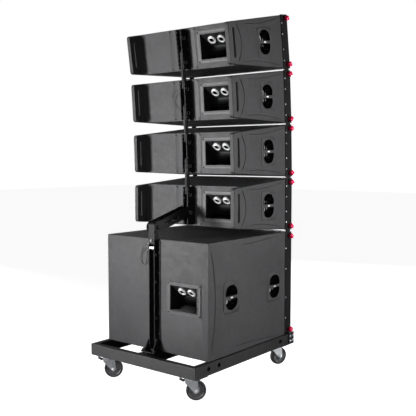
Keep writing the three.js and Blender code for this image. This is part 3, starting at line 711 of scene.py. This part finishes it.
# ---------- pins with mushroom knobs ----------
def knob_meshes():
    """Crimson head and neck of a quick-release pin on the left side, around the pin's axis; the neck's darker
    crimson is painted shade.
    """
    tip = KNOB_TIP_X
    head = lathe("knob_head", [
        (0.0098, 0.3595 - 0.0005), (0.0128, tip - 0.0128), (0.0145, tip - 0.0112), (0.0150, tip - 0.0080),
        (0.0150, tip - 0.0050), (0.0141, tip - 0.0022), (0.0118, tip - 0.0004), (0.0105, tip + 0.0006),
        (0.0070, tip + 0.0009), (0.0060, tip + 0.0002), (0, tip + 0.0001),
    ], 40, 50)
    neck = lathe("knob_neck", [(0.0122, PLATE_OUTER_X), (0.0122, PLATE_OUTER_X + 0.0024),
                               (0.0106, PLATE_OUTER_X + 0.0032), (0.0104, 0.3600)], 36, 30)
    shank = lathe("pin_shank", [(0, 0.3375), (0.0045, 0.3375), (0.0060, 0.3388),
                                (0.0060, PLATE_OUTER_X + 0.001)], 28, 40)
    return [moved(m, ALONG_X) for m in (head, neck, shank)]


KNOB_HEAD, KNOB_NECK, PIN_SHANK = knob_meshes()


def add_pin(name, body, sign, y, z, place=None, stands_for=()):
    """A knob on a fixed pin, or a whole hinge pin where it stands for a CAD node."""
    at = shift((0, y, z))
    head = on_side(moved(KNOB_HEAD, at), sign)
    necks = [KNOB_NECK, PIN_SHANK] if stands_for else [KNOB_NECK]
    neck = on_side(moved(joined(f"{name}_neck", necks), at), sign)
    add(f"{name}_head", head, CRIMSON, body, place, stands_for)
    # The neck gets the darker crimson: painted shade on the knob's stem.
    add(f"{name}_neck", neck, CRIMSON_PAINTED_SHADE, body, place)


# ---------- connector recess ----------
DISH_X = -0.196
DISH_HALF_H = 0.063
DISH_OPENING_W = 0.173
TRAY_W, TRAY_H = 0.164, 0.077
DISH_SCREW_X, DISH_SCREW_Z = 0.102, 0.075
RECESS_BACK = 0.066
RECESS_SKIN = 0.0005
LEDGE_DROP = 0.006
SOCKET_PANEL_RUN = 0.056
SOCKET_PANEL_DROP = DISH_HALF_H - LEDGE_DROP
SOCKET_DROP = 0.027
SOCKET_SPACING = 0.062


def socket_meshes():
    """Nickel ring and dark core of a round speaker connector, standing on z = 0."""
    ring = lathe("socket_ring", [
        (0.0233, 0.0), (0.0233, 0.0085), (0.0222, 0.0098), (0.0190, 0.0100), (0.0175, 0.0092),
        (0.0160, 0.0105), (0.0150, 0.0105), (0.0143, 0.0096), (0.0143, 0.0062),
    ], 12, 25)
    core = lathe("socket_core", [
        (0.0150, 0.0064), (0.0095, 0.0064), (0.0090, 0.0105), (0.0070, 0.0112), (0.0060, 0.0105), (0, 0.0105),
    ], 30, 35)
    return ring, core


SOCKET_RING, SOCKET_CORE = socket_meshes()


def recess_skins(panel_y, mid_z):
    """Skins of a recess: everything but its sloping floor, and that floor."""
    half = DISH_HALF_H - RECESS_SKIN
    back = panel_y - RECESS_BACK + RECESS_SKIN
    section = [
        (panel_y + 0.0046, half), (panel_y, half), (panel_y - SOCKET_PANEL_RUN, LEDGE_DROP - RECESS_SKIN),
        (back, LEDGE_DROP - RECESS_SKIN), (back, 0.018 - half), (panel_y - 0.040, -half),
        (panel_y + 0.0046, -half),
    ]
    half_w = DISH_OPENING_W / 2 - RECESS_SKIN
    verts = [(DISH_X + side * half_w, y, mid_z + z) for side in (-1, 1) for y, z in section]
    count = len(section)
    quads = [(i, i + 1, count + i + 1, count + i) for i in range(count - 1)]
    ends = [tuple(range(count)), tuple(range(count, 2 * count))]
    thin = [("SOLIDIFY", {"thickness": 0.0004, "offset": 0.0})]
    walls = settled("recess_walls", mesh_of("recess_walls", verts, quads[:4] + ends, 20), thin)
    slope = settled("recess_slope", mesh_of("recess_slope", verts, quads[4:], 20), thin)
    return walls, slope


def add_sockets(name, body, panel_y, mid_z, slope_material, place):
    slope = atan2(SOCKET_PANEL_DROP, SOCKET_PANEL_RUN)
    outward = Matrix.Rotation(slope, 4, "X") @ Matrix.Rotation(pi, 4, "X")
    at = Vector((DISH_X, panel_y - SOCKET_DROP * SOCKET_PANEL_RUN / SOCKET_PANEL_DROP,
                 mid_z + DISH_HALF_H - SOCKET_DROP))
    places = [at + Vector((side * SOCKET_SPACING / 2, 0, 0)) for side in (-1, 1)]
    middle = Vector((DISH_X, panel_y - SOCKET_PANEL_RUN / 2, mid_z + DISH_HALF_H - SOCKET_PANEL_DROP / 2))
    tray = plate("socket_tray", [rounded_box_loop(TRAY_W, TRAY_H, 0.004, steps=3)], 0.0022, 0.0006)
    walls, ramp = recess_skins(panel_y, mid_z)
    bezel = plate("bezel", [rounded_box_loop(DISH_OPENING_W + rim, 2 * DISH_HALF_H + rim, radius, steps=4)
                            for rim, radius in ((0.014, 0.006), (0.001, 0.003))], 0.0022, 0.0008)
    bezel = moved(bezel, shift((DISH_X, panel_y + 0.0042, mid_z)) @ FACING_REAR)
    screws = corners_of((DISH_X, panel_y + 0.0044, mid_z), DISH_SCREW_X, DISH_SCREW_Z)
    add_pieces(name, [
        ("socket_rings", spread("socket_rings", SOCKET_RING, outward, places), NICKEL_AND_GLINT, "zinc"),
        ("socket_cores", spread("socket_cores", SOCKET_CORE, outward, places), GLOSS_BLACK, "black_plastic"),
        ("socket_tray", moved(tray, shift(middle) @ outward), PLASTIC, "black_plastic"),
        ("recess_walls", walls, STEEL, "black_plastic"),
        ("recess_slope", ramp, slope_material, "black_plastic"),
        ("bezel", bezel, PANEL, "black_plastic"),
        ("screws", spread("recess_screws", SCREW, FACING_REAR, screws), STEEL, "black_steel"),
    ], body, place)


# ---------- perforated grilles ----------
HOLE_PITCH = 0.0098
HOLE_SHARE = 0.66
GRILLE_T = 0.0016
GRILLE_RIM = 0.007


def perforated_sheet(name, width, height):
    """Sheet with hexagonal holes in a honeycomb, in its own x and y, front face at z = 0."""
    step_x, step_y = HOLE_PITCH, HOLE_PITCH * sqrt(3) / 2
    columns = int((width - 2 * GRILLE_RIM) / step_x) - 1
    rows = int((height - 2 * GRILLE_RIM) / step_y)
    cell_r = HOLE_PITCH / sqrt(3)
    sheet = bmesh.new()
    for row in range(rows):
        for column in range(columns):
            cx = (column - (columns - 1) / 2 + (0.25 if row % 2 else -0.25)) * step_x
            cy = (row - (rows - 1) / 2) * step_y
            outer, inner = [], []
            for i in range(6):
                angle = radians(60 * i + 30)
                direction = Vector((cos(angle), sin(angle), 0))
                outer.append(sheet.verts.new(Vector((cx, cy, 0)) + direction * cell_r))
                inner.append(sheet.verts.new(Vector((cx, cy, 0)) + direction * cell_r * HOLE_SHARE))
            for i in range(6):
                j = (i + 1) % 6
                sheet.faces.new((outer[i], outer[j], inner[j], inner[i]))
    bmesh.ops.remove_doubles(sheet, verts=sheet.verts, dist=HOLE_PITCH * 0.02)
    return settled(name, mesh_from(name, sheet), [("SOLIDIFY", {"thickness": GRILLE_T, "offset": -1})])


def grille_mesh(name, width, height):
    """Perforated sheet in a folded steel rim."""
    outline = rounded_box_loop(width, height, 0.003, steps=3)
    window = 2 * GRILLE_RIM + 0.009
    inner = rounded_box_loop(width - window, height - window, 0.004, steps=2)
    rim = plate("grille_rim", [outline, inner], 0.0022, 0.0006)
    sheet = perforated_sheet(name, width, height)
    fold = rounded_box_loop(width - 0.004, height - 0.004, 0.002, steps=3)
    wall = plate("grille_wall", [outline, fold], 0.0125, 0.0004)
    return joined(name, [moved(rim, shift((0, 0, -0.0016))), moved(wall, shift((0, 0, -0.0135))), sheet])


# ---------- drivers ----------
WOOFER_X = 0.194
WOOFER_R = 0.122
WOOFER_Y = 0.020
WOOFER_DEPTH = 0.070
WOOFER_SCREWS = 8
HORN_Y = 0.0215
SUB_CONE_R = 0.226
SUB_CONE_Y = SUB_LOW.y + 0.034
SUB_CONE_DEPTH = 0.110
SUB_CONE_SCREWS = 12
CONE_SHARES = ((0.31, 0.50), (0.5, 0.34), (0.70, 0.15), (0.835, 0))


def driver_meshes(radius, depth, screws):
    """Cone with dust cap, rolled surround, chassis ring and its screws; own z points out of the front."""
    roll = radius / 0.12 * 0.010
    surround = [(radius * (0.885 - 0.055 * cos(radians(a))), 0.0015 + roll * sin(radians(a)))
                for a in range(0, 181, 15)]
    cap = [(radius * 0.30 * sin(radians(a)), depth * (-0.52 + 0.20 * cos(radians(a))))
           for a in range(0, 91, 10)]
    cone = [(radius * share, -depth * drop) for share, drop in CONE_SHARES]
    chassis = [(radius * 0.935, 0.0), (radius * 1.05, 0.0), (radius * 1.05, 0.0030), (radius * 1.03, 0.0046),
               (radius * 0.965, 0.0046), (radius * 0.935, 0.0030), (radius * 0.935, 0.0)]
    turns = [2 * pi * (i + 0.5) / screws for i in range(screws)]
    heads = spread("driver_screws", SCREW, Matrix.Identity(4),
                   [(radius * cos(t), radius * sin(t), 0.0044) for t in turns])
    return [
        ("cone", lathe("cone", cap + cone, 64, 60), PAPER),
        ("surround", lathe("surround", surround, 64, 60), SURROUND),
        ("chassis", joined("chassis", [lathe("ring", chassis, 64, 40), heads]), STEEL),
    ]


def horn_mesh():
    """Flared throat of the tall horn between the woofers; own z points out of the front."""
    stations = ((0.0, 0.0530, 0.1030), (-0.008, 0.0490, 0.1015), (-0.022, 0.0380, 0.0990),
                (-0.040, 0.0230, 0.0965), (-0.056, 0.0110, 0.0950))
    verts = []
    for depth, half_w, half_h in stations:
        verts += [(x, y, depth) for x, y in rounded_box_loop(2 * half_w, 2 * half_h, half_w * 0.5, steps=5)]
    return mesh_of("horn_flare", verts, cup_faces(len(stations), len(verts) // len(stations), True), 60)


# ---------- rail details ----------
RAIL_SCREW_X = 0.0242
RAIL_SCREWS_Z = (-0.092, -0.046, 0, 0.046, 0.092)
PLATE_SCREW_Y = 0.057
PLATE_SCREW_SHARES = (0.16, 0.36, 0.64, 0.84)
SPLIT_RING_R = 0.0098


def clevis_meshes(outer_x):
    """Domed head and split ring of a cross pin whose ends stand at outer_x, around the pin's axis."""
    dome = ((0.0050, 0), (0.0088, 0.0002), (0.0092, 0.0018), (0.0084, 0.0040), (0.0060, 0.0052), (0, 0.0054))
    head = lathe("pin_head", [(radius, outer_x + rise) for radius, rise in dome], 24, 40)
    turns = [2 * pi * i / 28 for i in range(28)]
    loop = [(-outer_x - 0.0022, SPLIT_RING_R * sin(t), -0.0086 + SPLIT_RING_R * cos(t)) for t in turns]
    return moved(head, ALONG_X), tube("split_ring", loop, 0.0011, closed=True)


def rail_pieces(low_y, low_z, low_outer_x):
    """Pin heads, rings and mounting screws of one rear rail."""
    spots = [((0, low_y, low_z), low_outer_x), ((0, RAIL_PIN_Y, RAIL_PINS_Z[1]), RAIL_HALF_W + 0.0002)]
    heads, rings = [], []
    for at, outer_x in spots:
        head, ring = clevis_meshes(outer_x)
        heads.append(moved(head, shift(at)))
        rings.append(moved(ring, shift(at)))
    screws = [(x, PANEL_Y + 0.0044, ELEMENT_MID_Z + z) for x in (-RAIL_SCREW_X, RAIL_SCREW_X)
              for z in RAIL_SCREWS_Z]
    return [
        ("rail_pin_heads", joined("rail_pin_heads", heads), STEEL, "black_steel"),
        ("rail_split_rings", joined("rail_split_rings", rings), ZINC, "zinc"),
        ("rail_screws", spread("rail_screws", SCREW, FACING_REAR, screws), DOLLY_STEEL, "black_steel"),
    ]


def plate_screws(low_z, height, front_y):
    """Screws down a left rigging plate."""
    places = [(PLATE_OUTER_X - 0.0004, front_y + PLATE_SCREW_Y, low_z + height * share)
              for share in PLATE_SCREW_SHARES]
    return spread("plate_screws", SCREW, FACING_LEFT, places)


# ---------- elements ----------
BACKING_X = 0.014
BACKING_W, BACKING_H = 0.180, 0.212
BACKING_SCREW_INSET = 0.007


def add_element(level, kit):
    place = element_place(level)
    body = f"element_{level}"
    for part, mesh, material, slot, stands_for in kit:
        add(f"{body}_{part}", mesh, material, body, place, [f"{body}_{n}" for n in stands_for])
    low_pin = (RAIL_PIN_Y, RAIL_PINS_Z[0], RAIL_HALF_W + 0.0002)
    if level == 1:
        low_pin = (*ARM_PIN, ARM_OUTER_X + 0.0006)
    add_pieces(body, rail_pieces(*low_pin), body, place)
    for side, sign in SIDES.items():
        add_handle(f"{body}_{side}_handle", body, sign, HANDLE_Y, ELEMENT_MID_Z, place)
        add_pin(f"{body}_{side}_top_pin", body, sign, PIN.y, ELEMENT_H - PIN.z, place)
        pin_body = f"{body}_{side}_pin"
        add_pin(pin_body, pin_body, sign, PIN.y, PIN.z, place, [f"{body}_{side}_hinge_pin"])
        screws = on_side(plate_screws(0, ELEMENT_H, 0), sign)
        add(f"{body}_{side}_plate_screws", screws, ZINC, body, place)
        soften(f"{body}_{side}_rigging_plate", STEEL, 0.0009)
    add_sockets(f"{body}_dish", body, PANEL_Y, ELEMENT_MID_Z, GLOSS_BLACK, place)
    soften(f"{body}_connector_dish", PANEL, 0.0016)
    soften(f"{body}_rear_rail", STEEL, 0.0008)
    soften(f"{body}_drivers", PLASTIC, 0.0012)
    if level < LEVELS[-1]:
        soften(f"{body}_rear_link", STEEL, 0.0012)


def element_kit():
    """Pieces shared by all elements, in an element's own frame."""
    place = element_place(1)
    cabinet = carved("element_shell", bare_copy("element_1_cabinet", place), element_groove_lines(),
                     [(HANDLE_Y, ELEMENT_MID_Z)])
    grille_low, grille_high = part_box("element_1_grille")
    width, height = grille_high.x - grille_low.x, grille_high.z - grille_low.z
    grille = moved(grille_mesh("element_grille", width, height),
                   shift((0, 0.002, ELEMENT_MID_Z)) @ FACING_FRONT)
    backing = plate("backing", [rounded_box_loop(BACKING_W, BACKING_H, 0.003, steps=2)], 0.0014, 0.0004)
    backing = moved(backing, shift((BACKING_X, PANEL_Y - 0.0005, ELEMENT_MID_Z)) @ FACING_REAR)
    corners = corners_of((BACKING_X, PANEL_Y + 0.0007, ELEMENT_MID_Z), BACKING_W / 2 - BACKING_SCREW_INSET,
                         BACKING_H / 2 - BACKING_SCREW_INSET)
    pieces = [
        ("shell", cabinet, PAINT, "textured_paint", ["cabinet"]),
        ("front_grille", grille, STEEL, "perforated_steel", ["grille"]),
        ("panel_backing", backing, PANEL, "textured_paint", []),
        ("backing_screws", spread("backing_screws", SCREW, FACING_REAR, corners), STEEL, "black_steel", []),
        ("horn_flare", moved(horn_mesh(), shift((0, HORN_Y, ELEMENT_MID_Z)) @ FACING_FRONT), PLASTIC,
         "driver_parts", []),
    ]
    for side, sign in SIDES.items():
        at = shift((sign * WOOFER_X, WOOFER_Y, ELEMENT_MID_Z)) @ FACING_FRONT
        for part, mesh, material in driver_meshes(WOOFER_R, WOOFER_DEPTH, WOOFER_SCREWS):
            pieces.append((f"{side}_woofer_{part}", moved(mesh, at), material, "driver_parts", []))
    return pieces


# ---------- subwoofer ----------
def add_subwoofer():
    shell = carved("sub_shell", bare_copy("sub_cabinet", Matrix.Identity(4)), sub_groove_lines(),
                   [(y, SUB_MID_Z) for y in SUB_HANDLES_Y])
    add("sub_shell", shell, PAINT, "base", stands_for=["sub_cabinet"])
    grille_low, grille_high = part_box("sub_grille")
    grille = grille_mesh("sub_front_grille", grille_high.x - grille_low.x, grille_high.z - grille_low.z)
    middle = (0, grille_low.y, (grille_low.z + grille_high.z) / 2)
    add("sub_front_grille", moved(grille, shift(middle) @ FACING_FRONT), STEEL, "base",
        stands_for=["sub_grille"])
    at = shift((0, SUB_CONE_Y, SUB_MID_Z)) @ FACING_FRONT
    for part, mesh, material in driver_meshes(SUB_CONE_R, SUB_CONE_DEPTH, SUB_CONE_SCREWS):
        add(f"sub_{part}", moved(mesh, at), material, "base")
    soften("sub_driver", PAINT, 0.0020)
    for side, sign in SIDES.items():
        soften(f"sub_{side}_rigging_plate", STEEL, 0.0009)
        screws = plate_screws(SUB_LOW.z, SUB_HIGH.z - SUB_LOW.z, SUB_LOW.y)
        add(f"sub_{side}_plate_screws", on_side(screws, sign), ZINC, "base")
        for end, y in zip(("rear", "front"), SUB_HANDLES_Y):
            add_handle(f"sub_{side}_{end}_handle", "base", sign, y, SUB_MID_Z, None)
        for end, z in (("lower", SUB_LOW.z + 0.024), ("upper", SUB_HIGH.z - 0.0245)):
            add_pin(f"sub_{side}_{end}_pin", "base", sign, SUB_LOW.y + PIN.y, z)
    add_sockets("sub_dish", "base", SUB_REAR_Y, SUB_MID_Z, PANEL, None)
    soften("sub_connector_dish", PANEL, 0.0016)


# ---------- rear post and tilt arm ----------
NUT = hex_nut(0.017, 0.0060)
BIG_NUT = hex_nut(0.024, 0.0075)
LOCK_BUTTON_Z = SUB_HIGH.z - 0.008
LATCH_GLINT_Z = SUB_HIGH.z - 0.046
FLANGE_BOLT_SHARES = (0.16, 0.34, 0.52, 0.70, 0.88)
CROSS_BOLT_SHARES = (0.10, 0.30, 0.62, 0.86)
FLANGE_BOLT_X = 0.0325
FOOT_NUT_X = 0.038
POST_HALF_W = 0.0198
ARM_SPACER_SHARE = 0.42


def both_ends(name, mesh, outer_x, places):
    """A mesh standing on both side faces at outer_x, at each (y, z)."""
    copies = []
    for y, z in places:
        left = moved(mesh, shift((outer_x, y, z)) @ FACING_LEFT)
        copies += [left, on_side(left, -1)]
    return joined(name, copies)


def add_post():
    soften("rear_post", STEEL, 0.0012)
    soften("tilt_arm", STEEL, 0.0010)
    button = lathe("lock_button", [(0.0086, 0), (0.0086, 0.0030), (0.0078, 0.0040), (0.0060, 0.0044),
                                   (0.0055, 0.0062), (0, 0.0064)], 28, 35)
    button = moved(button, shift((0.001, POST_REAR_Y, LOCK_BUTTON_Z)) @ FACING_REAR)
    # Small pale nickel plate on the post's rear face: a painted highlight where the post shows a bright slot.
    latch_glint = plate("latch_glint", [rounded_box_loop(0.033, 0.011, 0.002, steps=3)], 0.0050, 0.0010)
    latch_glint = moved(latch_glint, shift((0, POST_REAR_Y - 0.0052, LATCH_GLINT_Z)) @ FACING_REAR)
    rise = SUB_HIGH.z - DECK_Z
    flange = [(sign * FLANGE_BOLT_X, SUB_REAR_Y + 0.0034, DECK_Z + rise * share)
              for sign in SIDES.values() for share in FLANGE_BOLT_SHARES]
    cross = [(POST_REAR_Y - 0.011, DECK_Z + rise * share) for share in CROSS_BOLT_SHARES]
    feet = [(sign * FOOT_NUT_X, SUB_REAR_Y + 0.046, DECK_Z + 0.0062) for sign in SIDES.values()]
    add_pieces("post", [
        ("lock_button", button, HUB, "zinc"),
        # Pale nickel plate on the post: a painted highlight.
        ("latch_glint_bar", latch_glint, NICKEL_AND_GLINT, "zinc"),
        ("flange_bolts", spread("flange_bolts", SCREW, FACING_REAR, flange), DOLLY_STEEL, "black_steel"),
        ("cross_bolts", both_ends("cross_bolts", NUT, POST_HALF_W, cross), DOLLY_STEEL, "black_steel"),
        ("foot_nuts", spread("foot_nuts", BIG_NUT, Matrix.Identity(4), feet), STEEL, "black_steel"),
    ], "base")
    pivot = both_ends("pivot_nuts", BIG_NUT, ARM_OUTER_X + 0.0004, [(ARM_PIVOT.y, ARM_PIVOT.z)])
    add("arm_pivot_nuts", pivot, STEEL, "base")
    far = element_place(1) @ Vector((0, *ARM_PIN))
    spacer = ARM_PIVOT.lerp(far, ARM_SPACER_SHARE)
    spacers = both_ends("spacer_bolts", NUT, ARM_OUTER_X - 0.0002, [(spacer.y, spacer.z)])
    add("arm_spacer_bolts", spacers, DOLLY_STEEL, "tilt_arm")


# ---------- dolly ----------
CASTER_PLATE_T = 0.0045
HOLE_RISE = 0.0336
HOLE_Z = CASTER_PLATE_Z + CASTER_PLATE_T + HOLE_RISE
HOLES_Y = (DOLLY_REAR_Y - 0.105, DOLLY_REAR_Y - 0.188, DOLLY_FRONT_Y + 0.132)
TUBE_W = 0.030


def add_dolly():
    soften("dolly_frame", DOLLY_STEEL, 0.0024)
    grommet = lathe("grommet", [(0.0086, -0.0015), (0.0086, 0.0006), (0.0094, 0.0013), (0.0112, 0.0013),
                                (0.0120, 0.0004), (0.0120, -0.0015), (0.0086, -0.0015)], 28, 30)
    grommets = both_ends("grommets", grommet, DOLLY_HALF_W, [(y, HOLE_Z) for y in HOLES_Y])
    lip_bolts = [(DOLLY_FRONT_Y + y, HOLE_Z + z) for y in (0.013, 0.039) for z in (-0.014, 0.014)]
    beads = []
    for sx in SIDES.values():
        for end in (DOLLY_REAR_Y, DOLLY_FRONT_Y):
            x, y = sx * (DOLLY_HALF_W - TUBE_W), end - copysign(TUBE_W, end)
            wobble = [(x + 0.0004 * sin(i * 2.1), y, DECK_Z - 0.004 - i * 0.002) for i in range(26)]
            beads.append(tube("bead", wobble, 0.0022))
    add_pieces("dolly", [
        ("grommets", grommets, STEEL, "black_steel"),
        ("lip_bolts", both_ends("lip_bolts", BIG_SCREW, DOLLY_HIGH.x, lip_bolts), ZINC, "zinc"),
        ("welds", joined("welds", beads), DOLLY_STEEL, "black_steel"),
    ], "base")


# ---------- casters ----------
AXLE_OUTER = 0.0212
PEDAL_FOOT = Vector((0, 0.0385, 0.1012))
PEDAL_SLOPE_DEG = 29
PLATE_NUT_X, PLATE_NUT_Y = 0.038, 0.036


def wheel_meshes():
    """Tyre and ribbed hub of a caster wheel, around its axle along x."""
    tyre_half = [(0.0385, 0.0148), (0.0445, 0.0158), (0.0478, 0.0128), (0.0494, 0.0075), (0.0500, 0.0020)]
    hub_half = [(0.0066, 0.0168), (0.0140, 0.0168), (0.0156, 0.0150), (0.0175, 0.0095), (0.0330, 0.0085),
                (0.0360, 0.0128), (0.0390, 0.0146)]
    made = []
    for name, half, sharp in (("tyre", tyre_half, 50), ("hub", hub_half, 30)):
        profile = [(r, -x) for r, x in half] + [(r, x) for r, x in reversed(half)]
        made.append(lathe(name, [*profile, profile[0]], 56, sharp))
    rib = box_mesh("rib", (0.0165, -0.0013, 0.0080), (0.0350, 0.0013, 0.0122))
    ribs = [moved(rib, Matrix.Rotation(radians(45 * i), 4, "Z") @ Matrix.Rotation(flip, 4, "X"))
            for i in range(8) for flip in (0, pi)]
    made[1] = joined("hub", [made[1], *ribs])
    return [moved(mesh, ALONG_X) for mesh in made]


def raceway_mesh():
    """Two pressed ball races between the fork's crown and the mounting plate."""
    lower = [(0.0272, 0.1062), (0.0330, 0.1066), (0.0342, 0.1090), (0.0325, 0.1118), (0.0272, 0.1122),
             (0.0272, 0.1062)]
    upper = [(0.0272, 0.1130), (0.0352, 0.1134), (0.0366, 0.1158), (0.0352, 0.1186), (0.0272, 0.1190),
             (0.0272, 0.1130)]
    return joined("raceway", [lathe("race", profile, 44, 35) for profile in (lower, upper)])


def pedal_pad():
    """Ribbed tread on the brake pedal, in the caster's own frame."""
    rows = [0.003 + 0.0036 * i for i in range(5)]
    bars = [tube("tread_bar", [(-0.0135, y, 0.0008), (0.0135, y, 0.0008)], 0.0011) for y in rows]
    return moved(joined("pedal_tread", bars), shift(PEDAL_FOOT)
                 @ Matrix.Rotation(radians(PEDAL_SLOPE_DEG), 4, "X"))


def add_casters():
    tyre, hub = wheel_meshes()
    raceway = raceway_mesh()
    tread = pedal_pad()
    bolts = []
    for end in ("front", "rear"):
        for side in SIDES:
            caster = f"{end}_{side}_caster"
            axle = Vector(JOINTS[f"{caster}_roll"]["pos_m"])
            swivel = Vector(JOINTS[f"{caster}_swivel"]["pos_m"])
            axis = Vector(JOINTS[f"{caster}_roll"]["axis"])
            turn = Matrix.Rotation(atan2(axis.y, axis.x), 4, "Z")
            at = shift((swivel.x, swivel.y, 0)) @ turn
            add(f"{caster}_tyre", moved(tyre, shift(axle) @ turn), TYRE, f"{caster}_roller",
                stands_for=[f"{caster}_wheel"])
            add(f"{caster}_hub", moved(hub, shift(axle) @ turn), HUB, f"{caster}_roller")
            soften(f"{caster}_fork", ZINC, 0.0008)
            trail = (axle - swivel).to_2d().length
            nuts = both_ends("axle_nuts", NUT, AXLE_OUTER, [(-trail, axle.z)])
            add(f"{caster}_axle_nuts", moved(nuts, at), NICKEL_AND_GLINT, f"{caster}_swivel")
            add(f"{caster}_raceway", moved(raceway, at), ZINC, f"{caster}_swivel")
            if end == "rear":
                soften(f"{caster}_brake_pedal", STEEL, 0.0008)
                add(f"{caster}_pedal_tread", moved(tread, at), TYRE, f"{caster}_pedal")
            bolts += [(swivel.x + sx * PLATE_NUT_X, swivel.y + sy * PLATE_NUT_Y, CASTER_PLATE_Z)
                      for sx in (-1, 1) for sy in (-1, 1)]
    upside_down = Matrix.Rotation(pi, 4, "X")
    add("caster_plate_nuts", spread("caster_plate_nuts", NUT, upside_down, bolts), ZINC, "base")


kit = element_kit()
for level in LEVELS:
    add_element(level, kit)
add_subwoofer()
add_post()
add_dolly()
add_casters()


# ---------- stage ----------
SOFTBOX_SPREAD_DEG = 46


def split_for_camera(tree, for_camera, for_light, target):
    """Shows the camera one shader of the stage and lights the object with another."""
    path = tree.nodes.new("ShaderNodeLightPath")
    mix = tree.nodes.new("ShaderNodeMixShader")
    tree.links.new(path.outputs["Is Camera Ray"], mix.inputs["Fac"])
    tree.links.new(for_light, mix.inputs[1])
    tree.links.new(for_camera, mix.inputs[2])
    tree.links.new(mix.outputs["Shader"], target)


def floor_material():
    """Pale floor that looks white and throws little light up at the object."""
    material = surface("pale_floor", ((0.90, 0.90, 0.90), (0.93, 0.93, 0.93)), (0.75, 0.85), (900.0, 0.0002))
    tree = material.node_tree
    pale = tree.nodes["Principled BSDF"]
    glow = node_of(tree, "ShaderNodeEmission", Color=(1, 1, 1, 1), Strength=0.93)
    both = tree.nodes.new("ShaderNodeAddShader")
    tree.links.new(pale.outputs["BSDF"], both.inputs[0])
    tree.links.new(glow.outputs["Emission"], both.inputs[1])
    dim = node_of(tree, "ShaderNodeBsdfDiffuse", Color=(0.05, 0.05, 0.05, 1))
    split_for_camera(tree, both.outputs["Shader"], dim.outputs["BSDF"],
                     tree.nodes["Material Output"].inputs["Surface"])
    return material


def add_world():
    world = bpy.data.worlds.new("studio")
    bpy.context.scene.world = world
    world.use_nodes = True
    tree = world.node_tree
    white = tree.nodes["Background"]
    white.inputs["Color"].default_value = (1, 1, 1, 1)
    white.inputs["Strength"].default_value = 1.0
    direction = tree.nodes.new("ShaderNodeTexCoord").outputs["Generated"]
    axes = tree.nodes.new("ShaderNodeSeparateXYZ")
    tree.links.new(direction, axes.inputs["Vector"])
    soft = tree.nodes.new("ShaderNodeBackground")
    sky = ramp_of(tree, axes.outputs["Z"], [(0.0, 0.10), (0.25, 0.07), (0.60, 0.005)])
    tree.links.new(sky, soft.inputs["Color"])
    split_for_camera(tree, white.outputs["Background"], soft.outputs["Background"],
                     tree.nodes["World Output"].inputs["Surface"])


def add_light(name, at, aim, size, energy):
    """Upright softbox whose grid keeps its light close to level."""
    data = bpy.data.lights.new(name, "AREA")
    data.shape = "RECTANGLE"
    data.size, data.size_y = size
    data.spread = radians(SOFTBOX_SPREAD_DEG)
    data.energy = energy
    light = linked(name, data)
    light.location = at
    light.rotation_euler = (Vector(aim) - Vector(at)).to_track_quat("-Z", "Y").to_euler()


def add_stage():
    bpy.ops.mesh.primitive_plane_add(size=40)
    floor = bpy.context.object
    floor.name = "floor"
    floor.data.materials.append(floor_material())
    add_world()
    add_light("key", (2.3, 4.0, 1.10), (0.1, 0.4, 1.05), (1.0, 2.2), 28)
    add_light("eye", (-3.2, 3.6, 1.1), (-0.2, 0.3, 1.05), (1.0, 2.2), 5)
    add_light("side", (-4.2, -1.6, 1.1), (-0.3, 0, 1.05), (1.2, 2.2), 16)
    add_light("front", (1.2, -4.4, 1.2), (0, -0.4, 1.1), (1.6, 2.2), 34)
    add_light("far_side", (4.4, -1.0, 1.1), (0.3, 0, 1.05), (1.2, 2.2), 15)
    bpy.context.scene.view_settings.view_transform = "Standard"


add_stage()
